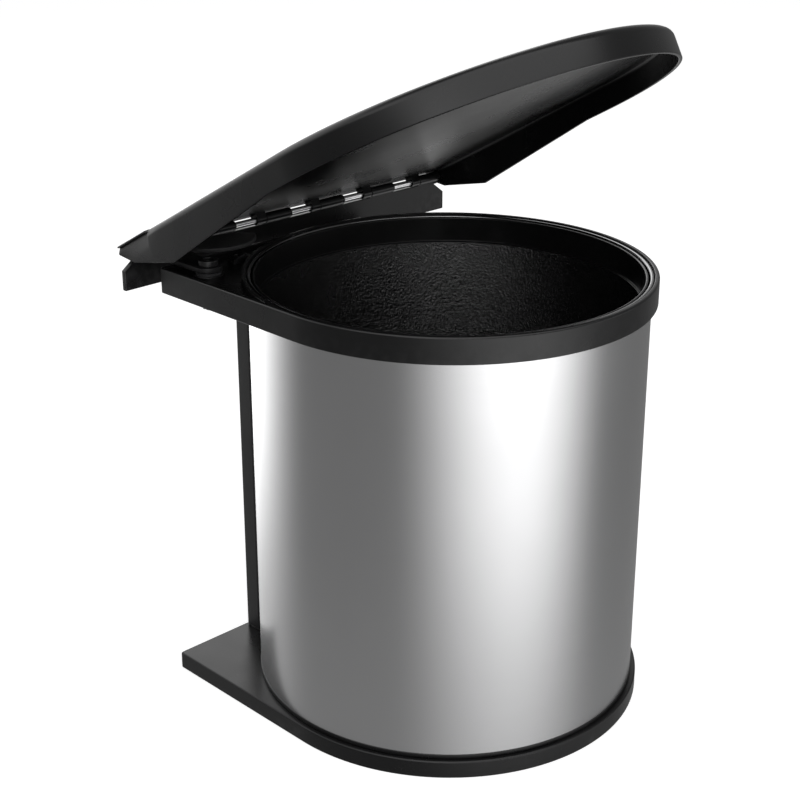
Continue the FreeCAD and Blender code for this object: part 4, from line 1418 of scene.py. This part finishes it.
    def build(self) -> None:
        """Build and dress every piece."""
        make_piece("lift_flap_plate", softened("lift_flap", self.flap_round), Body.LIFTER,
                   [Finish.FLAP], "lift_flap")
        self.build_shell()
        self.build_eyes()


@dataclass(frozen=True)
class Panel:
    """A soft bright panel of the surroundings, as steel and satin plastic mirror it.

    A direction's bearing is in degrees from the camera's side, and its height is its Z. The panel fades in
    and out over spans of both. Below its height it keeps a least share. Its foot can slope up to the right.
    """

    level: float
    bearing_in: Span | None = None
    bearing_out: Span | None = None
    height_in: Span | None = None
    height_out: Span | None = None
    least: float = 0.0
    slope: float = 0.0

    def brightness(self, graph: NodeGraph, bearing: Socket, height: Socket) -> Socket:
        """How bright it is in a direction.

        Args:
            graph: the world's tree.
            bearing: the direction's bearing.
            height: the direction's height.

        Returns:
            The brightness socket.
        """
        if self.slope:
            rise = graph.times(graph.math("MAXIMUM", bearing), self.slope)
            height = graph.math("SUBTRACT", height, rise)
        bright = self.level
        for value, span, low, high in ((bearing, self.bearing_in, 0.0, 1.0),
                                       (bearing, self.bearing_out, 1.0, 0.0),
                                       (height, self.height_in, self.least, 1.0),
                                       (height, self.height_out, 1.0, 0.0)):
            if span:
                bright = graph.times(graph.ease(value, span, low, high), bright)
        return bright


@dataclass(frozen=True)
class Lamp:
    """A square soft lamp, which the surroundings' panels stand in for where it would be mirrored."""

    name: str
    place: Point
    size: float
    power: float

    def build(self, target: Point) -> None:
        """Set the lamp up.

        Args:
            target: what it points at.
        """
        data = bpy.data.lights.new(self.name, "AREA")
        data.shape = "SQUARE"
        data.size = self.size
        data.energy = self.power
        lamp = bpy.data.objects.new(self.name, data)
        lamp.location = self.place
        lamp.rotation_euler = (Vector(target) - Vector(self.place)).to_track_quat("-Z", "Y").to_euler()
        lamp.visible_glossy = False
        bpy.context.scene.collection.objects.link(lamp)


@dataclass
class Studio:
    """Camera, floor, lamps and the surroundings that the steel mirrors."""

    eye: tuple[float, float, float] = (-0.7197, -0.6919, 0.6080)
    tilt: float = math.radians(68.04)
    heading: float = math.radians(-44.29)
    lens: float = 72.72
    sensor: float = 36.0
    floor_half: float = 6.0
    floor_colour: Colour = (0.80, 0.80, 0.80)
    floor_glow: float = 0.62
    white_level: float = 1.0
    plain_level: float = 0.55
    dim_level: float = 0.25
    low_gain: float = 1.45
    low_span: Span = (-0.60, -0.32)
    front_upper_level: float = 0.04
    rear_upper_level: float = 0.45
    rear_span: Span = (150, 172)
    upper_span: Span = (-0.05, 0.25)
    key: Panel = Panel(3.4, (-31, 40), (42, 100), (-0.61, -0.27), (-0.16, 0.06), least=0.02)
    left: Panel = Panel(3.1, None, (-150, -88), (-0.50, -0.32), (-0.02, 0.12), least=0.14)
    left_upper: Panel = Panel(1.8, None, (-92, -68), (0.06, 0.22), (0.60, 0.80))
    right: Panel = Panel(1.6, (60, 82), (100, 114), (-0.24, -0.14), (0.02, 0.12))
    right_low: Panel = Panel(1.6, (84, 104), height_out=(-0.72, -0.65))
    rear: Panel = Panel(0.40, (160, 174), height_out=(0.0, 0.2))
    high: Panel = Panel(2.0, (-80, -62), (88, 100), (0.30, 0.40), slope=0.002007)
    mouth: Panel = Panel(2.6, (-30, -12), (4, 28), (0.10, 0.20), (0.34, 0.46))
    front_lamp: Lamp = Lamp("front_lamp", (-0.75, -1.6, 1.6), 1.9, 18.0)
    top_lamp: Lamp = Lamp("top_lamp", (0.0, 0.1, 2.2), 1.6, 9.0)
    lamp_target: tuple[float, float, float] = (0.0, 0.0, 0.2)

    def build_camera(self) -> None:
        """The camera at the photographed angle."""
        data = bpy.data.cameras.new("camera")
        data.lens = self.lens
        data.sensor_width = self.sensor
        camera = bpy.data.objects.new("camera", data)
        camera.location = self.eye
        camera.rotation_euler = (self.tilt, 0.0, self.heading)
        bpy.context.scene.collection.objects.link(camera)
        bpy.context.scene.camera = camera

    def build_floor(self) -> None:
        """A pale floor that keeps the shadow and meets the white background."""
        shape = bmesh.new()
        bmesh.ops.create_grid(shape, x_segments=1, y_segments=1, size=self.floor_half)
        mesh = bpy.data.meshes.new("floor")
        shape.to_mesh(mesh)
        shape.free()
        floor = bpy.data.objects.new("floor", mesh)
        bpy.context.scene.collection.objects.link(floor)
        material = bpy.data.materials.new("pale_floor")
        graph = fresh_graph(material)
        matte = graph.add("BsdfDiffuse")
        matte.inputs["Color"].default_value = opaque(self.floor_colour)
        glow = graph.add("Emission")
        seen = graph.add("LightPath").outputs["Is Camera Ray"]
        graph.join(graph.times(seen, self.floor_glow), glow.inputs["Strength"])
        both = graph.add("AddShader")
        graph.join(matte.outputs[0], both.inputs[0])
        graph.join(glow.outputs[0], both.inputs[1])
        graph.join(both.outputs[0], graph.add("OutputMaterial").inputs["Surface"])
        mesh.materials.append(material)
        floor.visible_glossy = False

    def mirrored(self, graph: NodeGraph) -> Socket:
        """The surroundings as they are mirrored: dim, paler above and behind, with the panels in them.

        Args:
            graph: the world's tree.

        Returns:
            The brightness socket.
        """
        turn = graph.add("VectorRotate", rotation_type="Z_AXIS")
        graph.join(graph.add("TexCoord").outputs["Generated"], turn.inputs["Vector"])
        turn.inputs["Angle"].default_value = -math.atan2(self.eye[1], self.eye[0])
        axes = graph.add("SeparateXYZ")
        graph.join(turn.outputs[0], axes.inputs[0])
        bearing = graph.math("DEGREES", graph.math("ARCTAN2", axes.outputs["Y"], axes.outputs["X"]))
        height = axes.outputs["Z"]
        dim = graph.ease(height, self.low_span, self.dim_level * self.low_gain, self.dim_level)
        across = graph.math("ABSOLUTE", bearing)
        over = graph.ease(across, self.rear_span, self.front_upper_level, self.rear_upper_level)
        bright = graph.plus(dim, graph.times(graph.ease(height, self.upper_span), over))
        for panel in (self.key, self.left, self.left_upper, self.right, self.right_low, self.rear, self.high,
                      self.mouth):
            bright = graph.plus(bright, panel.brightness(graph, bearing, height))
        return bright

    def build_world(self) -> None:
        """White where the camera sees it, a plain level for light, and soft panels for what is mirrored."""
        world = bpy.data.worlds.new("studio")
        bpy.context.scene.world = world
        graph = fresh_graph(world)
        back = graph.add("Background")
        graph.join(back.outputs[0], graph.add("OutputWorld").inputs["Surface"])
        path = graph.add("LightPath").outputs
        lit = graph.mix(path["Is Glossy Ray"], self.plain_level, self.mirrored(graph))
        graph.join(graph.mix(path["Is Camera Ray"], lit, self.white_level), back.inputs["Strength"])

    def build(self) -> None:
        """Build the stage, the lamps and the camera."""
        bpy.context.scene.view_settings.view_transform = "Standard"
        self.build_floor()
        self.build_world()
        self.front_lamp.build(self.lamp_target)
        self.top_lamp.build(self.lamp_target)
        self.build_camera()


def main() -> None:
    """Build the bin's pieces in order, then the studio."""
    logging.basicConfig(level=logging.INFO, format="%(message)s")
    for part in (BaseAssembly, CanAssembly, TopRingAssembly, WallBracket, LidAssembly, Studio):
        part().build()


if __name__ == "__main__":
    main()
